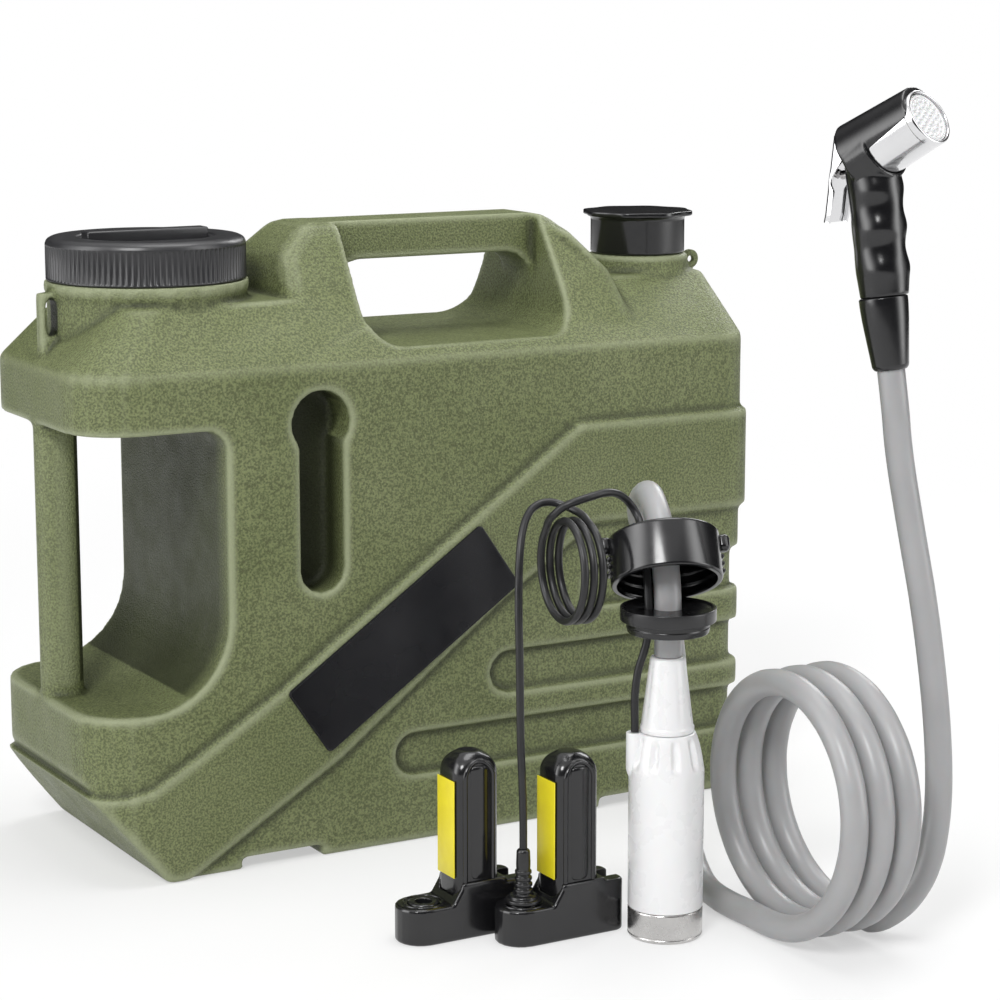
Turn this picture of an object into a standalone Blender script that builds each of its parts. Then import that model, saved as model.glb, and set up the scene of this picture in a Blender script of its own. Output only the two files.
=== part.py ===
"""Portable shower kit: a 5 gallon water can with a submersible pump, two battery packs,
a cable, a hose and a trigger handset. Metres, +Z up, origin on the floor under the can."""

import math

import bmesh
import bpy
from mathutils import Matrix, Vector
from mathutils.geometry import interpolate_bezier

MM = 0.001
GAP = 0.3 * MM
ROOT = 20 * MM

# Can body
CAN_ZERO_X = -215 * MM
CAN_LEFT = -7 * MM
CAN_RIGHT = 430 * MM
CAN_WIDTH = 160 * MM
CAN_SHOULDER_Z = 287 * MM
CAN_DECK_Z = 322 * MM
DECK_HALF_LEFT = 57 * MM
DECK_HALF_RIGHT = 28 * MM
DECK_FALL = 35 * MM
CORNER_LEFT = 34 * MM
CORNER_RIGHT = 17 * MM
CORNER_DECK = 8 * MM
CORNER_STEPS = 5
CAN_EDGE = 6 * MM
CAN_SIDE_STEPS = 4
CAN_WALL = 3.5 * MM
TOE_LENGTH = 40 * MM
TOE_HEIGHT = 51 * MM
FOOT_RECESS = 7 * MM
FOOT_GAPS = ((82 * MM, 133 * MM), (322 * MM, 400 * MM))

# Relief on the can walls
GROOVE_DEPTH = 5 * MM
GROOVE_HEIGHT = 26 * MM
GROOVES = ((181 * MM, 40 * MM), (245 * MM, 82 * MM), (309 * MM, 128 * MM))
BAND_PROUD = 4 * MM
BAND_TOP = ((305, 241), (141, 127), (108, 103), (54, 70), (28, 55.5), (9, 51), (-20, 50))
BAND_LOW = ((-20, -20), (13, -20), (47, 0), (145, 59), (251, 140), (316, 181))
BAND_RIGHT_TOP = 241
BAND_RIGHT_LOW = 181
KEYHOLE_X = 135.4 * MM
KEYHOLE_Z = 254.6 * MM
KEYHOLE_RADIUS = 18.5 * MM
KEYHOLE_SLOT = 28 * MM
KEYHOLE_LOW_Z = 170 * MM
KEYHOLE_DEPTH = 25 * MM

# Grip opening and its upright
GRIP_INNER_X = 77 * MM
GRIP_LOW_Z = 97 * MM
GRIP_HIGH_Z = 255 * MM
GRIP_LOW_RADIUS = 50 * MM
GRIP_HIGH_RADIUS = 12 * MM
PILLAR_RADIUS = 12.4 * MM
PILLAR_X = 6 * MM

# Carrying handle
RIDGE_OUTLINE = ((126, 286), (134, 345), (152, 362), (316, 362), (330, 351), (350, 328), (360, 286))
RIDGE_BASE_HALF = 72 * MM
RIDGE_TOP_HALF = 25 * MM
RIDGE_TAPER_LOW_Z = 292 * MM
RIDGE_TAPER_HIGH_Z = 357 * MM
RIDGE_BEVEL = 7 * MM
HAND_LEFT = 174 * MM
HAND_RIGHT = 310 * MM
HAND_LOW_Z = 293.5 * MM
HAND_HIGH_Z = 339 * MM
HAND_RADIUS = 18 * MM
BAR_HALF_WIDTH = 17 * MM
UPRIGHT_WALL = 6 * MM
UPRIGHT_LEFT = 28 * MM
UPRIGHT_RIGHT = 12 * MM
UPRIGHT_RISE = 24 * MM

# Filling mouth, its lid and gasket
MOUTH_X = 64 * MM
TURRET_RADIUS = 56.8 * MM
MOUTH_FLANGE_RADIUS = 58.3 * MM
MOUTH_FLANGE_Z = CAN_DECK_Z + 5 * MM
MOUTH_SEAT_Z = CAN_DECK_Z + 11 * MM
NECK_WALL = 4 * MM
NECK_RADIUS = 50 * MM
NECK_TOP_Z = CAN_DECK_Z + 28 * MM
THREAD_HEIGHT = 1.2 * MM
THREAD_ROOT = 0.8 * MM
THREAD_MARGIN = 4.5 * MM
THREAD_POINTS = 12
LID_RADIUS = 57 * MM
LID_THICKNESS = 5.8 * MM
LID_SKIRT_CLEARANCE = 1.2 * MM
LID_RIBS = 44
LID_RIB_DEPTH = 1.0 * MM
LID_BEVEL = 3 * MM
LID_RECESS_RADIUS = 39.5 * MM
LID_RECESS_DEPTH = 3 * MM
LID_BAR_LENGTH = 74 * MM
LID_BAR_WIDTH = 11 * MM
LID_BAR_RISE = 3.5 * MM
LID_PITCH = 8 * MM
GASKET_THICKNESS = 1.6 * MM

# Pouring spout and its cap; the pump collar is the same cap with a hole
SPOUT_X = 397 * MM
SPOUT_RING_RADIUS = 31.5 * MM
SPOUT_FOOT_RADIUS = 33 * MM
SPOUT_SEAT_Z = CAN_DECK_Z + 10.5 * MM
SPOUT_RADIUS = 24.5 * MM
SPOUT_TOP_Z = CAN_DECK_Z + 30.5 * MM
CAP_RADIUS = 29.5 * MM
CAP_HEIGHT = 26 * MM
CAP_TOP = 3.2 * MM
CAP_FLANGE_RADIUS = 33.5 * MM
CAP_FLANGE_HEIGHT = 3 * MM
CAP_WAVES = 8
CAP_WAVE_DEPTH = 0.7 * MM
CAP_PITCH = 6 * MM
LUG_RADIUS = 4 * MM
LUG_HEIGHT = 7 * MM
EYELET_RADIUS = 6 * MM
EYELET_HOLE = 2.6 * MM
EYELET_OUT = 6.5 * MM
EYELET_Z = CAN_DECK_Z + 4.5 * MM
EYELET_THICKNESS = 3.2 * MM

# Fin with a strap slot at the left end, under the filling mouth
FIN_X = -2 * MM
FIN_WIDTH = 10.6 * MM
STRAP_SLOT_X = 1.8 * MM
STRAP_SLOT_WIDTH = 5.7 * MM
STRAP_SLOT_HEIGHT = 21 * MM
STRAP_LOW_Z = 304 * MM

# Label plate on the diagonal band
PLATE_LENGTH = 153 * MM
PLATE_HEIGHT = 46.5 * MM
PLATE_THICKNESS = 1 * MM
PLATE_X = 185.2 * MM
PLATE_Z = 125.2 * MM
PLATE_RADIUS = 3 * MM
BAND_ANGLE = math.radians(34.3)

# Pump
PUMP_X = 17 * MM
PUMP_Y = -289.5 * MM
PUMP_RADIUS = 20 * MM
PUMP_BASE_HEIGHT = 16 * MM
PUMP_WALL = 2.4 * MM
PUMP_SHOULDER_Z = 91 * MM
PUMP_SHOULDER_TOP_Z = 111.5 * MM
PUMP_SHOULDER_RADIUS = 15.5 * MM
PUMP_FLUTES = 10
PUMP_FLUTE_RADIUS = 3.2 * MM
NOSE_TOP_Z = 152 * MM
NOSE_LOW_RADIUS = 14.5 * MM
NOSE_TOP_RADIUS = 9.3 * MM
NOSE_BORE = 4.5 * MM
BOSS_RADIUS = 4.6 * MM
BOSS_OUT = 17.2 * MM
BOSS_LOW_Z = 86 * MM
SCREEN_THICKNESS = 2 * MM
SCREEN_SLOTS = 8
IMPELLER_RADIUS = 13.5 * MM
IMPELLER_HEIGHT = 6 * MM
IMPELLER_VANES = 6
IMPELLER_CLEAR = 2.6 * MM
SHAFT_RADIUS = 1.5 * MM
MOTOR_LOW_Z = 24 * MM
MOTOR_HEIGHT = 56 * MM
SHAFT_DEPTH = 20 * MM
DIFFUSER_THICKNESS = 3 * MM
SEAL_THICKNESS = 3 * MM

# Hose, collar and stopper
HOSE_RADIUS = 7.3 * MM
FEED_BEND = 60 * MM
FEED_START_Z = 168 * MM
FEED_HEADING = math.radians(21.9)
STOPPER_LOW_Z = 165.1 * MM
STOPPER_LOW_HEIGHT = 6.5 * MM
STOPPER_LOW_RADIUS = 22 * MM
STOPPER_HEIGHT = 13.5 * MM
STOPPER_RADIUS = 25.3 * MM
COLLAR_TILT = math.radians(32)
COLLAR_MID = 0.43
GROMMET_RADIUS = 16.5 * MM
GROMMET_DOME = 6.5 * MM
GROMMET_LIP = 5 * MM
FEED_CLEARANCE = 1.1 * MM
HOSE_COIL_X = 62 * MM
HOSE_COIL_Y = -323.4 * MM
HOSE_COIL_RADIUS = 64.7 * MM
HOSE_COIL_PITCH = 17 * MM
HOSE_COIL_TURNS = 3
HOSE_STEP = 19 * MM
HOSE_LEAD = 6 * MM
LOOP_POINTS = 24
CABLE_LOOP_POINTS = 18

# Cable
CABLE_RADIUS = 2.1 * MM
CABLE_OUT = 10.3 * MM
CABLE_COIL_AT = Vector((-25.2, -262, 197)) * MM
CABLE_COIL_RADIUS = 26.2 * MM
CABLE_COIL_PITCH = 5.1 * MM
CABLE_COIL_TURNS = 3
CABLE_COIL_TURN = math.radians(-8)
CABLE_STEP = 8 * MM
CABLE_LEAD = 3 * MM

# Battery packs
PACK_1 = Vector((-114, -246.3, 0)) * MM
PACK_2 = Vector((-69, -274.2, 0)) * MM
PACK_LENGTH = 71 * MM
PACK_WIDTH = 27.6 * MM
PACK_LOW_HEIGHT = 20 * MM
PACK_HIGH_HEIGHT = 31 * MM
PACK_STEP_X = 33 * MM
PACK_CORNER = 5 * MM
SOCKET_X = 15.5 * MM
SOCKET_RADIUS = 8.2 * MM
SOCKET_WELL = 4.6 * MM
SOCKET_DEPTH = 8 * MM
SOCKET_PROUD = 0.8 * MM
PIN_RADIUS = 1.1 * MM
TOWER_X = 30 * MM
TOWER_LENGTH = 26 * MM
TOWER_WIDTH = 24 * MM
TOWER_TOP_Z = 100 * MM
TOWER_SINK = 6 * MM
TOWER_CORNER = 6 * MM
TOWER_DOME = 10.5 * MM
TOWER_DOME_STEPS = 4
CELL_RADIUS = 9.1 * MM
CELL_HEIGHT = 65 * MM
LABEL_LOW_Z = 33 * MM
LABEL_HIGH_Z = 86 * MM
LABEL_WIDTH = 18 * MM
LABEL_THICKNESS = 0.6 * MM
BOARD_THICKNESS = 1.6 * MM
PLUG_BARREL = 6 * MM
PLUG_FLANGE_RADIUS = 9.6 * MM
PLUG_FLANGE_HEIGHT = 4 * MM
PLUG_BOOT_RADIUS = 5.3 * MM
PLUG_BOOT_TOP_RADIUS = 3.9 * MM
PLUG_TOP_Z = 50 * MM

# Handset
NUT_FOOT = Vector((115, -346, 303)) * MM
HANDSET_HEADING = math.radians(17)
HANDSET_LEAN = math.radians(9.3)
NUT_HEIGHT = 38 * MM
NUT_LOW_RADIUS = 9 * MM
NUT_TOP_RADIUS = 12.6 * MM
HEAD_HEIGHT = 109.3 * MM
HEAD_PITCH = math.radians(31)
HEAD_RADIUS = 15.2 * MM
HEAD_LENGTH = 43 * MM
HEAD_WALL = 1.6 * MM
HOOD_WALL = 1.6 * MM
HOOD_BACK = 5 * MM
HOOD_FRONT = 11.5 * MM
ROOF_RISE_BACK = 5 * MM
ROOF_RISE_FRONT = 3 * MM
ROOF_SHORT = 2 * MM
WATER_BORE = 5 * MM
GRIP_SIDES = 16
BARREL_BACK = 2 * MM
NUT_WALL = 1.6 * MM
NUT_SPIGOT_LOW = 10 * MM
LEVER_PIVOT = (-10.5 * MM, 117.5 * MM)
LEVER_LENGTH = 41 * MM
LEVER_WIDTH = 17 * MM
LEVER_PLATE = 1.6 * MM
LEVER_OUT = math.radians(15.6)
LEVER_SETBACK = 3.4 * MM
LEVER_ROOM_AHEAD = 4.2 * MM
LEVER_PIN_RADIUS = 1.5 * MM
LUG_BOSS_RADIUS = 3 * MM
LUG_BOSS_HALF = 5 * MM
PLUNGER_DROP = 15 * MM
PLUNGER_RADIUS = 2.4 * MM


def clear_scene():
    for old in list(bpy.data.objects):
        bpy.data.objects.remove(old)


def new_collection(name, hidden=False):
    group = bpy.data.collections.new(name)
    group.hide_render = hidden
    bpy.context.scene.collection.children.link(group)
    return group


clear_scene()
PARTS = new_collection("portable_shower_kit")
CUTTERS = new_collection("cutters", hidden=True)


def make_material(name, color, roughness, metallic=0.0):
    material = bpy.data.materials.new(name)
    material.use_nodes = True
    shader = material.node_tree.nodes["Principled BSDF"]
    shader.inputs["Base Color"].default_value = (*color, 1.0)
    shader.inputs["Roughness"].default_value = roughness
    shader.inputs["Metallic"].default_value = metallic
    return material


OLIVE = make_material("olive_plastic", (0.13, 0.16, 0.07), 0.5)
BLACK = make_material("black_plastic", (0.012, 0.012, 0.013), 0.35)
RUBBER = make_material("black_rubber", (0.016, 0.016, 0.017), 0.6)
WHITE = make_material("white_plastic", (0.85, 0.86, 0.88), 0.3)
STEEL = make_material("steel", (0.62, 0.62, 0.63), 0.3, 1.0)
CHROME = make_material("chrome", (0.75, 0.75, 0.76), 0.12, 1.0)
HOSE_GREY = make_material("grey_hose", (0.42, 0.43, 0.44), 0.45)
YELLOW = make_material("yellow_label", (0.80, 0.66, 0.03), 0.5)
GREEN = make_material("circuit_green", (0.03, 0.16, 0.06), 0.5)
CELL_BLUE = make_material("cell_wrap", (0.05, 0.12, 0.35), 0.4)


def add_object(name, mesh, material=None, collection=None):
    item = bpy.data.objects.new(name, mesh)
    (collection or (PARTS if material else CUTTERS)).objects.link(item)
    if material:
        mesh.materials.append(material)
    else:
        item.hide_render = True
        item.display_type = "WIRE"
    return item


def smooth(item, angle=35):
    item.data.shade_smooth()
    item.data.set_sharp_from_angle(angle=math.radians(angle))
    return item


def evaluated_mesh(item):
    bpy.context.view_layer.update()
    graph = bpy.context.evaluated_depsgraph_get()
    return bpy.data.meshes.new_from_object(item.evaluated_get(graph))


def solid_of_curve(name, curve, matrix, material=None):
    """The curve as a closed mesh object in world space."""
    guide = bpy.data.objects.new(name + "_curve", curve)
    CUTTERS.objects.link(guide)
    mesh = evaluated_mesh(guide)
    bpy.data.objects.remove(guide)
    work = bmesh.new()
    work.from_mesh(mesh)
    bmesh.ops.remove_doubles(work, verts=work.verts, dist=0.00001)
    bmesh.ops.dissolve_limit(work, angle_limit=math.radians(0.1), verts=work.verts, edges=work.edges)
    bmesh.ops.transform(work, matrix=matrix, verts=work.verts)
    bmesh.ops.recalc_face_normals(work, faces=work.faces)
    work.to_mesh(mesh)
    work.free()
    mesh.name = name
    return add_object(name, mesh, material)


FACING_FRONT = Matrix.Rotation(math.pi / 2, 4, "X")
FACING_UP = Matrix.Identity(4)


def slab(name, points, half_depth, facing=FACING_UP, place=(0, 0, 0), material=None):
    """A flat outline, thickened by half_depth each way along the normal of its facing."""
    curve = bpy.data.curves.new(name, "CURVE")
    curve.dimensions = "2D"
    curve.fill_mode = "BOTH"
    curve.extrude = half_depth
    spline = curve.splines.new("POLY")
    spline.points.add(len(points) - 1)
    for spot, (across, along) in zip(spline.points, points):
        spot.co = (across, along, 0, 1)
    spline.use_cyclic_u = True
    return solid_of_curve(name, curve, Matrix.Translation(place) @ facing, material)


def arc(centre, radius, start, end, steps):
    """Points on an arc, angles in degrees."""
    points = []
    for step in range(steps + 1):
        angle = math.radians(start + (end - start) * step / steps)
        points.append((centre[0] + radius * math.cos(angle), centre[1] + radius * math.sin(angle)))
    return points


def rounded_box(low, high, radius, steps=4):
    """Outline of a rectangle with round corners."""
    corners = (
        (high[0] - radius, low[1] + radius, -90),
        (high[0] - radius, high[1] - radius, 0),
        (low[0] + radius, high[1] - radius, 90),
        (low[0] + radius, low[1] + radius, 180),
    )
    points = []
    for across, along, start in corners:
        points += arc((across, along), radius, start, start + 90, steps)
    return points


def turned(name, profile, steps, place=(0, 0, 0), material=None, matrix=None):
    """A profile of (radius, height) pairs, outer side top to bottom, turned round Z."""
    work = bmesh.new()
    verts = [work.verts.new((radius, 0, height)) for radius, height in profile]
    closed = profile[0][0] > 0 and profile[-1][0] > 0
    for first, second in zip(verts, verts[1:]):
        work.edges.new((first, second))
    if closed:
        work.edges.new((verts[-1], verts[0]))
    mesh = bpy.data.meshes.new(name)
    work.to_mesh(mesh)
    work.free()
    guide = add_object(name + "_guide", mesh)
    screw = guide.modifiers.new("turn", "SCREW")
    screw.steps = steps
    screw.render_steps = steps
    screw.use_merge_vertices = True
    screw.merge_threshold = 0.00001
    solid = evaluated_mesh(guide)
    bpy.data.objects.remove(guide)
    work = bmesh.new()
    work.from_mesh(solid)
    bmesh.ops.remove_doubles(work, verts=work.verts, dist=0.000005)
    bmesh.ops.recalc_face_normals(work, faces=work.faces)
    bmesh.ops.transform(work, matrix=Matrix.Translation(place) @ (matrix or FACING_UP), verts=work.verts)
    work.to_mesh(solid)
    work.free()
    return add_object(name, solid, material)


def block(name, low, high, material=None, matrix=None):
    """A box between two corners."""
    low, high = Vector(low), Vector(high)
    size = Matrix.Diagonal((*(high - low), 1.0))
    work = bmesh.new()
    bmesh.ops.create_cube(work, size=1.0, matrix=Matrix.Translation((low + high) / 2) @ size)
    if matrix:
        bmesh.ops.transform(work, matrix=matrix, verts=work.verts)
    mesh = bpy.data.meshes.new(name)
    work.to_mesh(mesh)
    work.free()
    return add_object(name, mesh, material)


def rod(name, start, end, radius, sides=24, material=None, end_radius=None):
    """A round bar or cone between two points."""
    start, end = Vector(start), Vector(end)
    length = (end - start).length
    turn = Vector((0, 0, 1)).rotation_difference(end - start).to_matrix().to_4x4()
    work = bmesh.new()
    bmesh.ops.create_cone(
        work,
        cap_ends=True,
        segments=sides,
        radius1=radius,
        radius2=radius if end_radius is None else end_radius,
        depth=length,
        matrix=Matrix.Translation((start + end) / 2) @ turn,
    )
    mesh = bpy.data.meshes.new(name)
    work.to_mesh(mesh)
    work.free()
    return add_object(name, mesh, material)


def combine(item, tool, operation="DIFFERENCE", solver="EXACT"):
    boolean = item.modifiers.new(tool.name, "BOOLEAN")
    boolean.operation = operation
    boolean.object = tool
    boolean.solver = solver
    return item


def merge_flats(item):
    """Joins neighbouring faces that lie in one plane."""
    flats = item.modifiers.new("flats", "DECIMATE")
    flats.decimate_type = "DISSOLVE"
    flats.angle_limit = math.radians(0.2)
    return item


def mould(item, tool, operation="DIFFERENCE"):
    """A Boolean for a shell whose many shallow cuts meet each other at its rounded corners."""
    return combine(item, tool, operation, "MANIFOLD")


def round_edges(item, width, segments=3, angle=30):
    bevel = item.modifiers.new("rounding", "BEVEL")
    bevel.width = width
    bevel.segments = segments
    bevel.limit_method = "ANGLE"
    bevel.angle_limit = math.radians(angle)
    return item


def can_x(length):
    """World X of a length measured from the can's zero mark, just inside its left end."""
    return length + CAN_ZERO_X


def lofted(name, rows, material=None):
    """A closed solid through rings of points, all with the same count."""
    work = bmesh.new()
    rings = [[work.verts.new(point) for point in row] for row in rows]
    sides = len(rings[0])
    for lower, upper in zip(rings, rings[1:]):
        for step in range(sides):
            after = (step + 1) % sides
            work.faces.new((lower[step], lower[after], upper[after], upper[step]))
    work.faces.new(tuple(reversed(rings[0])))
    work.faces.new(tuple(rings[-1]))
    bmesh.ops.dissolve_limit(work, angle_limit=math.radians(0.1), verts=work.verts, edges=work.edges)
    bmesh.ops.recalc_face_normals(work, faces=work.faces)
    mesh = bpy.data.meshes.new(name)
    work.to_mesh(mesh)
    work.free()
    return add_object(name, mesh, material)


def can_plan(left, right, halves, radii, height):
    """A level ring round the can; halves and radii are those of its left and right ends."""
    corners = (
        (right - radii[1], radii[1] - halves[1], -90, radii[1]),
        (right - radii[1], halves[1] - radii[1], 0, radii[1]),
        (left + radii[0], halves[0] - radii[0], 90, radii[0]),
        (left + radii[0], radii[0] - halves[0], 180, radii[0]),
    )
    points = []
    for across, along, start, radius in corners:
        curve = arc((across, along), radius, start, start + 90, CORNER_STEPS)
        if start in (90, -90):
            before = points[-1] if points else (left + radii[0], -halves[0])
            for step in range(1, CAN_SIDE_STEPS):
                share = step / CAN_SIDE_STEPS
                points.append(tuple(a + (b - a) * share for a, b in zip(before, curve[0])))
        points += curve
    return [(across, along, height) for across, along in points]


def can_block(name, grow, material=None):
    """The can's plain body, grown or shrunk on every face but kept off the floor."""
    floor = FOOT_RECESS - grow if grow < 0 else 0.0
    left, right = can_x(CAN_LEFT) - grow, can_x(CAN_RIGHT) + grow
    wide = (CAN_WIDTH / 2 + grow, CAN_WIDTH / 2 + grow)
    radii = (CORNER_LEFT + grow, CORNER_RIGHT + grow)
    deck = (DECK_HALF_LEFT + grow / 2, DECK_HALF_RIGHT + grow / 2)
    deck_radii = (CORNER_LEFT / 2 + grow, max(CORNER_DECK + grow, MM))
    rows = (
        can_plan(left, right, wide, radii, floor),
        can_plan(left, right, wide, radii, CAN_SHOULDER_Z + grow / 2),
        can_plan(left + DECK_FALL + grow / 2, right, deck, deck_radii, CAN_DECK_Z + grow),
    )
    body = lofted(name, rows, material)
    work = bmesh.new()
    work.from_mesh(body.data)
    outward = Vector((-TOE_HEIGHT, 0, -TOE_LENGTH)).normalized()
    cut = bmesh.ops.bisect_plane(
        work,
        geom=work.verts[:] + work.edges[:] + work.faces[:],
        plane_co=Vector((can_x(TOE_LENGTH), 0, 0)) + outward * grow,
        plane_no=outward,
        clear_outer=True,
    )
    edges = [piece for piece in cut["geom_cut"] if isinstance(piece, bmesh.types.BMEdge)]
    bmesh.ops.holes_fill(work, edges=edges)
    bmesh.ops.recalc_face_normals(work, faces=work.faces)
    work.to_mesh(body.data)
    work.free()
    return round_edges(body, max(CAN_EDGE + grow, MM), 1 if grow < 0 else 2, 20)


def groove_prism(name, start, low, grow):
    """A flat-bottomed channel with a round left end, running out past the right end."""
    radius = GROOVE_HEIGHT / 2 + grow
    middle = low + GROOVE_HEIGHT / 2
    points = arc((can_x(start) + radius - grow, middle), radius, 90, 270, 6)
    beyond = can_x(CAN_RIGHT) + 2 * ROOT
    points += [(beyond, middle - radius), (beyond, middle + radius)]
    return slab(name, points, CAN_WIDTH, FACING_FRONT)


def grooved_block(name, grow, material=None):
    """The body with its three channels, for the outside and again for the hollow."""
    body = can_block(name, grow, material)
    for number, (start, low) in enumerate(GROOVES):
        mould(body, groove_prism(f"{name}_groove_{number}", start, low, -grow))
    return mould(body, can_block(name + "_core", grow - GROOVE_DEPTH), "UNION")


def band():
    """The raised sash: horizontal round the right end, then down across the front."""
    right = (CAN_RIGHT + 2 * ROOT) / MM
    outline = [(right, BAND_RIGHT_TOP), *BAND_TOP, *BAND_LOW, (right, BAND_RIGHT_LOW)]
    points = [(can_x(length * MM), height * MM) for length, height in outline]
    sash = can_block("band", BAND_PROUD)
    return mould(sash, slab("band_outline", points, CAN_WIDTH, FACING_FRONT), "INTERSECT")


def ridge():
    """The wedge that carries the handle, narrowing towards its top."""
    points = [(can_x(length * MM), height * MM) for length, height in RIDGE_OUTLINE]
    wedge = slab("ridge", points, RIDGE_BASE_HALF, FACING_FRONT)
    span = RIDGE_TAPER_HIGH_Z - RIDGE_TAPER_LOW_Z
    for vertex in wedge.data.vertices:
        rise = min(1.0, max(0.0, (vertex.co.z - RIDGE_TAPER_LOW_Z) / span))
        half = RIDGE_BASE_HALF + (RIDGE_TOP_HALF - RIDGE_BASE_HALF) * rise
        vertex.co.y = math.copysign(half, vertex.co.y)
    return round_edges(wedge, RIDGE_BEVEL, 2)


def neck(name, centre, profile):
    return turned(name, profile, 32, (can_x(centre), 0, 0))


def thread(name, centre, radius, seat, top, pitch):
    """A raised helical bead on a neck, its root sunk in the wall."""
    curve = bpy.data.curves.new(name, "CURVE")
    curve.dimensions = "3D"
    curve.bevel_depth = THREAD_HEIGHT + THREAD_ROOT
    curve.bevel_resolution = 0
    curve.use_fill_caps = True
    spline = curve.splines.new("POLY")
    low, high = seat + THREAD_MARGIN, top - THREAD_MARGIN
    turns = (high - low) / pitch
    count = round(THREAD_POINTS * turns)
    spline.points.add(count)
    for number, spot in enumerate(spline.points):
        angle = math.tau * turns * number / count
        across = (radius - THREAD_ROOT) * math.cos(angle)
        along = (radius - THREAD_ROOT) * math.sin(angle)
        spot.co = (can_x(centre) + across, along, low + (high - low) * number / count, 1)
    return solid_of_curve(name, curve, FACING_UP)


def grip_outline(grow):
    """The side opening: square at the left, a wide sweep at its lower right corner."""
    left = can_x(CAN_LEFT) - ROOT
    right = can_x(GRIP_INNER_X) + grow
    low = GRIP_LOW_Z - grow
    high = GRIP_HIGH_Z + grow
    wide = GRIP_LOW_RADIUS + grow
    tight = GRIP_HIGH_RADIUS + grow
    points = [(left, high), (left, low)]
    points += arc((right - wide, low + wide), wide, -90, 0, 8)
    points += arc((right - tight, high - tight), tight, 0, 90, 4)
    return points


def keyhole(name, side, grow):
    """A round pocket over a slot, sunk into one wall."""
    half = KEYHOLE_SLOT / 2 + grow
    radius = KEYHOLE_RADIUS + grow
    shoulder = math.degrees(math.acos(half / radius))
    centre = (can_x(KEYHOLE_X), KEYHOLE_Z)
    points = arc(centre, radius, -shoulder, 180 + shoulder, 12)
    points += arc((centre[0], KEYHOLE_LOW_Z), half, 180, 360, 6)
    depth = KEYHOLE_DEPTH + grow
    outer = CAN_WIDTH / 2 + 20 * MM
    middle = side * (CAN_WIDTH / 2 - depth + outer) / 2
    return slab(name, points, (outer - CAN_WIDTH / 2 + depth) / 2, FACING_FRONT, (0, middle, 0))


def can_hollow():
    """Everything inside the can: the body, the towers and both necks."""
    hollow = grooved_block("hollow", -CAN_WALL)
    mould(hollow, slab("hollow_grip", grip_outline(CAN_WALL), CAN_WIDTH, FACING_FRONT))
    for side in (-1, 1):
        mould(hollow, keyhole(f"hollow_keyhole_{side + 1}", side, CAN_WALL))
    hand = rounded_box(
        (can_x(HAND_LEFT) - CAN_WALL, HAND_LOW_Z - CAN_WALL),
        (can_x(HAND_RIGHT) + CAN_WALL, CAN_DECK_Z + 60 * MM),
        HAND_RADIUS,
    )
    mould(hollow, slab("hollow_hand", hand, CAN_WIDTH, FACING_FRONT))
    left, right = HAND_LEFT - UPRIGHT_WALL, HAND_RIGHT + UPRIGHT_WALL
    spans = ((left - UPRIGHT_LEFT, left), (right, right + UPRIGHT_RIGHT))
    for number, (start, end) in enumerate(spans):
        low = (can_x(start), -RIDGE_TOP_HALF + CAN_WALL, CAN_DECK_Z - ROOT)
        high = (can_x(end), RIDGE_TOP_HALF - CAN_WALL, CAN_DECK_Z + UPRIGHT_RISE)
        mould(hollow, block(f"hollow_tower_{number}", low, high), "UNION")
    bores = (
        ("mouth", MOUTH_X, NECK_RADIUS - NECK_WALL, NECK_TOP_Z),
        ("spout", SPOUT_X, SPOUT_RADIUS - NECK_WALL, SPOUT_TOP_Z),
    )
    for name, centre, radius, top in bores:
        low = (can_x(centre), 0, CAN_DECK_Z - ROOT)
        high = (can_x(centre), 0, top + ROOT)
        mould(hollow, rod(f"{name}_bore", low, high, radius, 24), "UNION")
    return hollow


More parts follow.
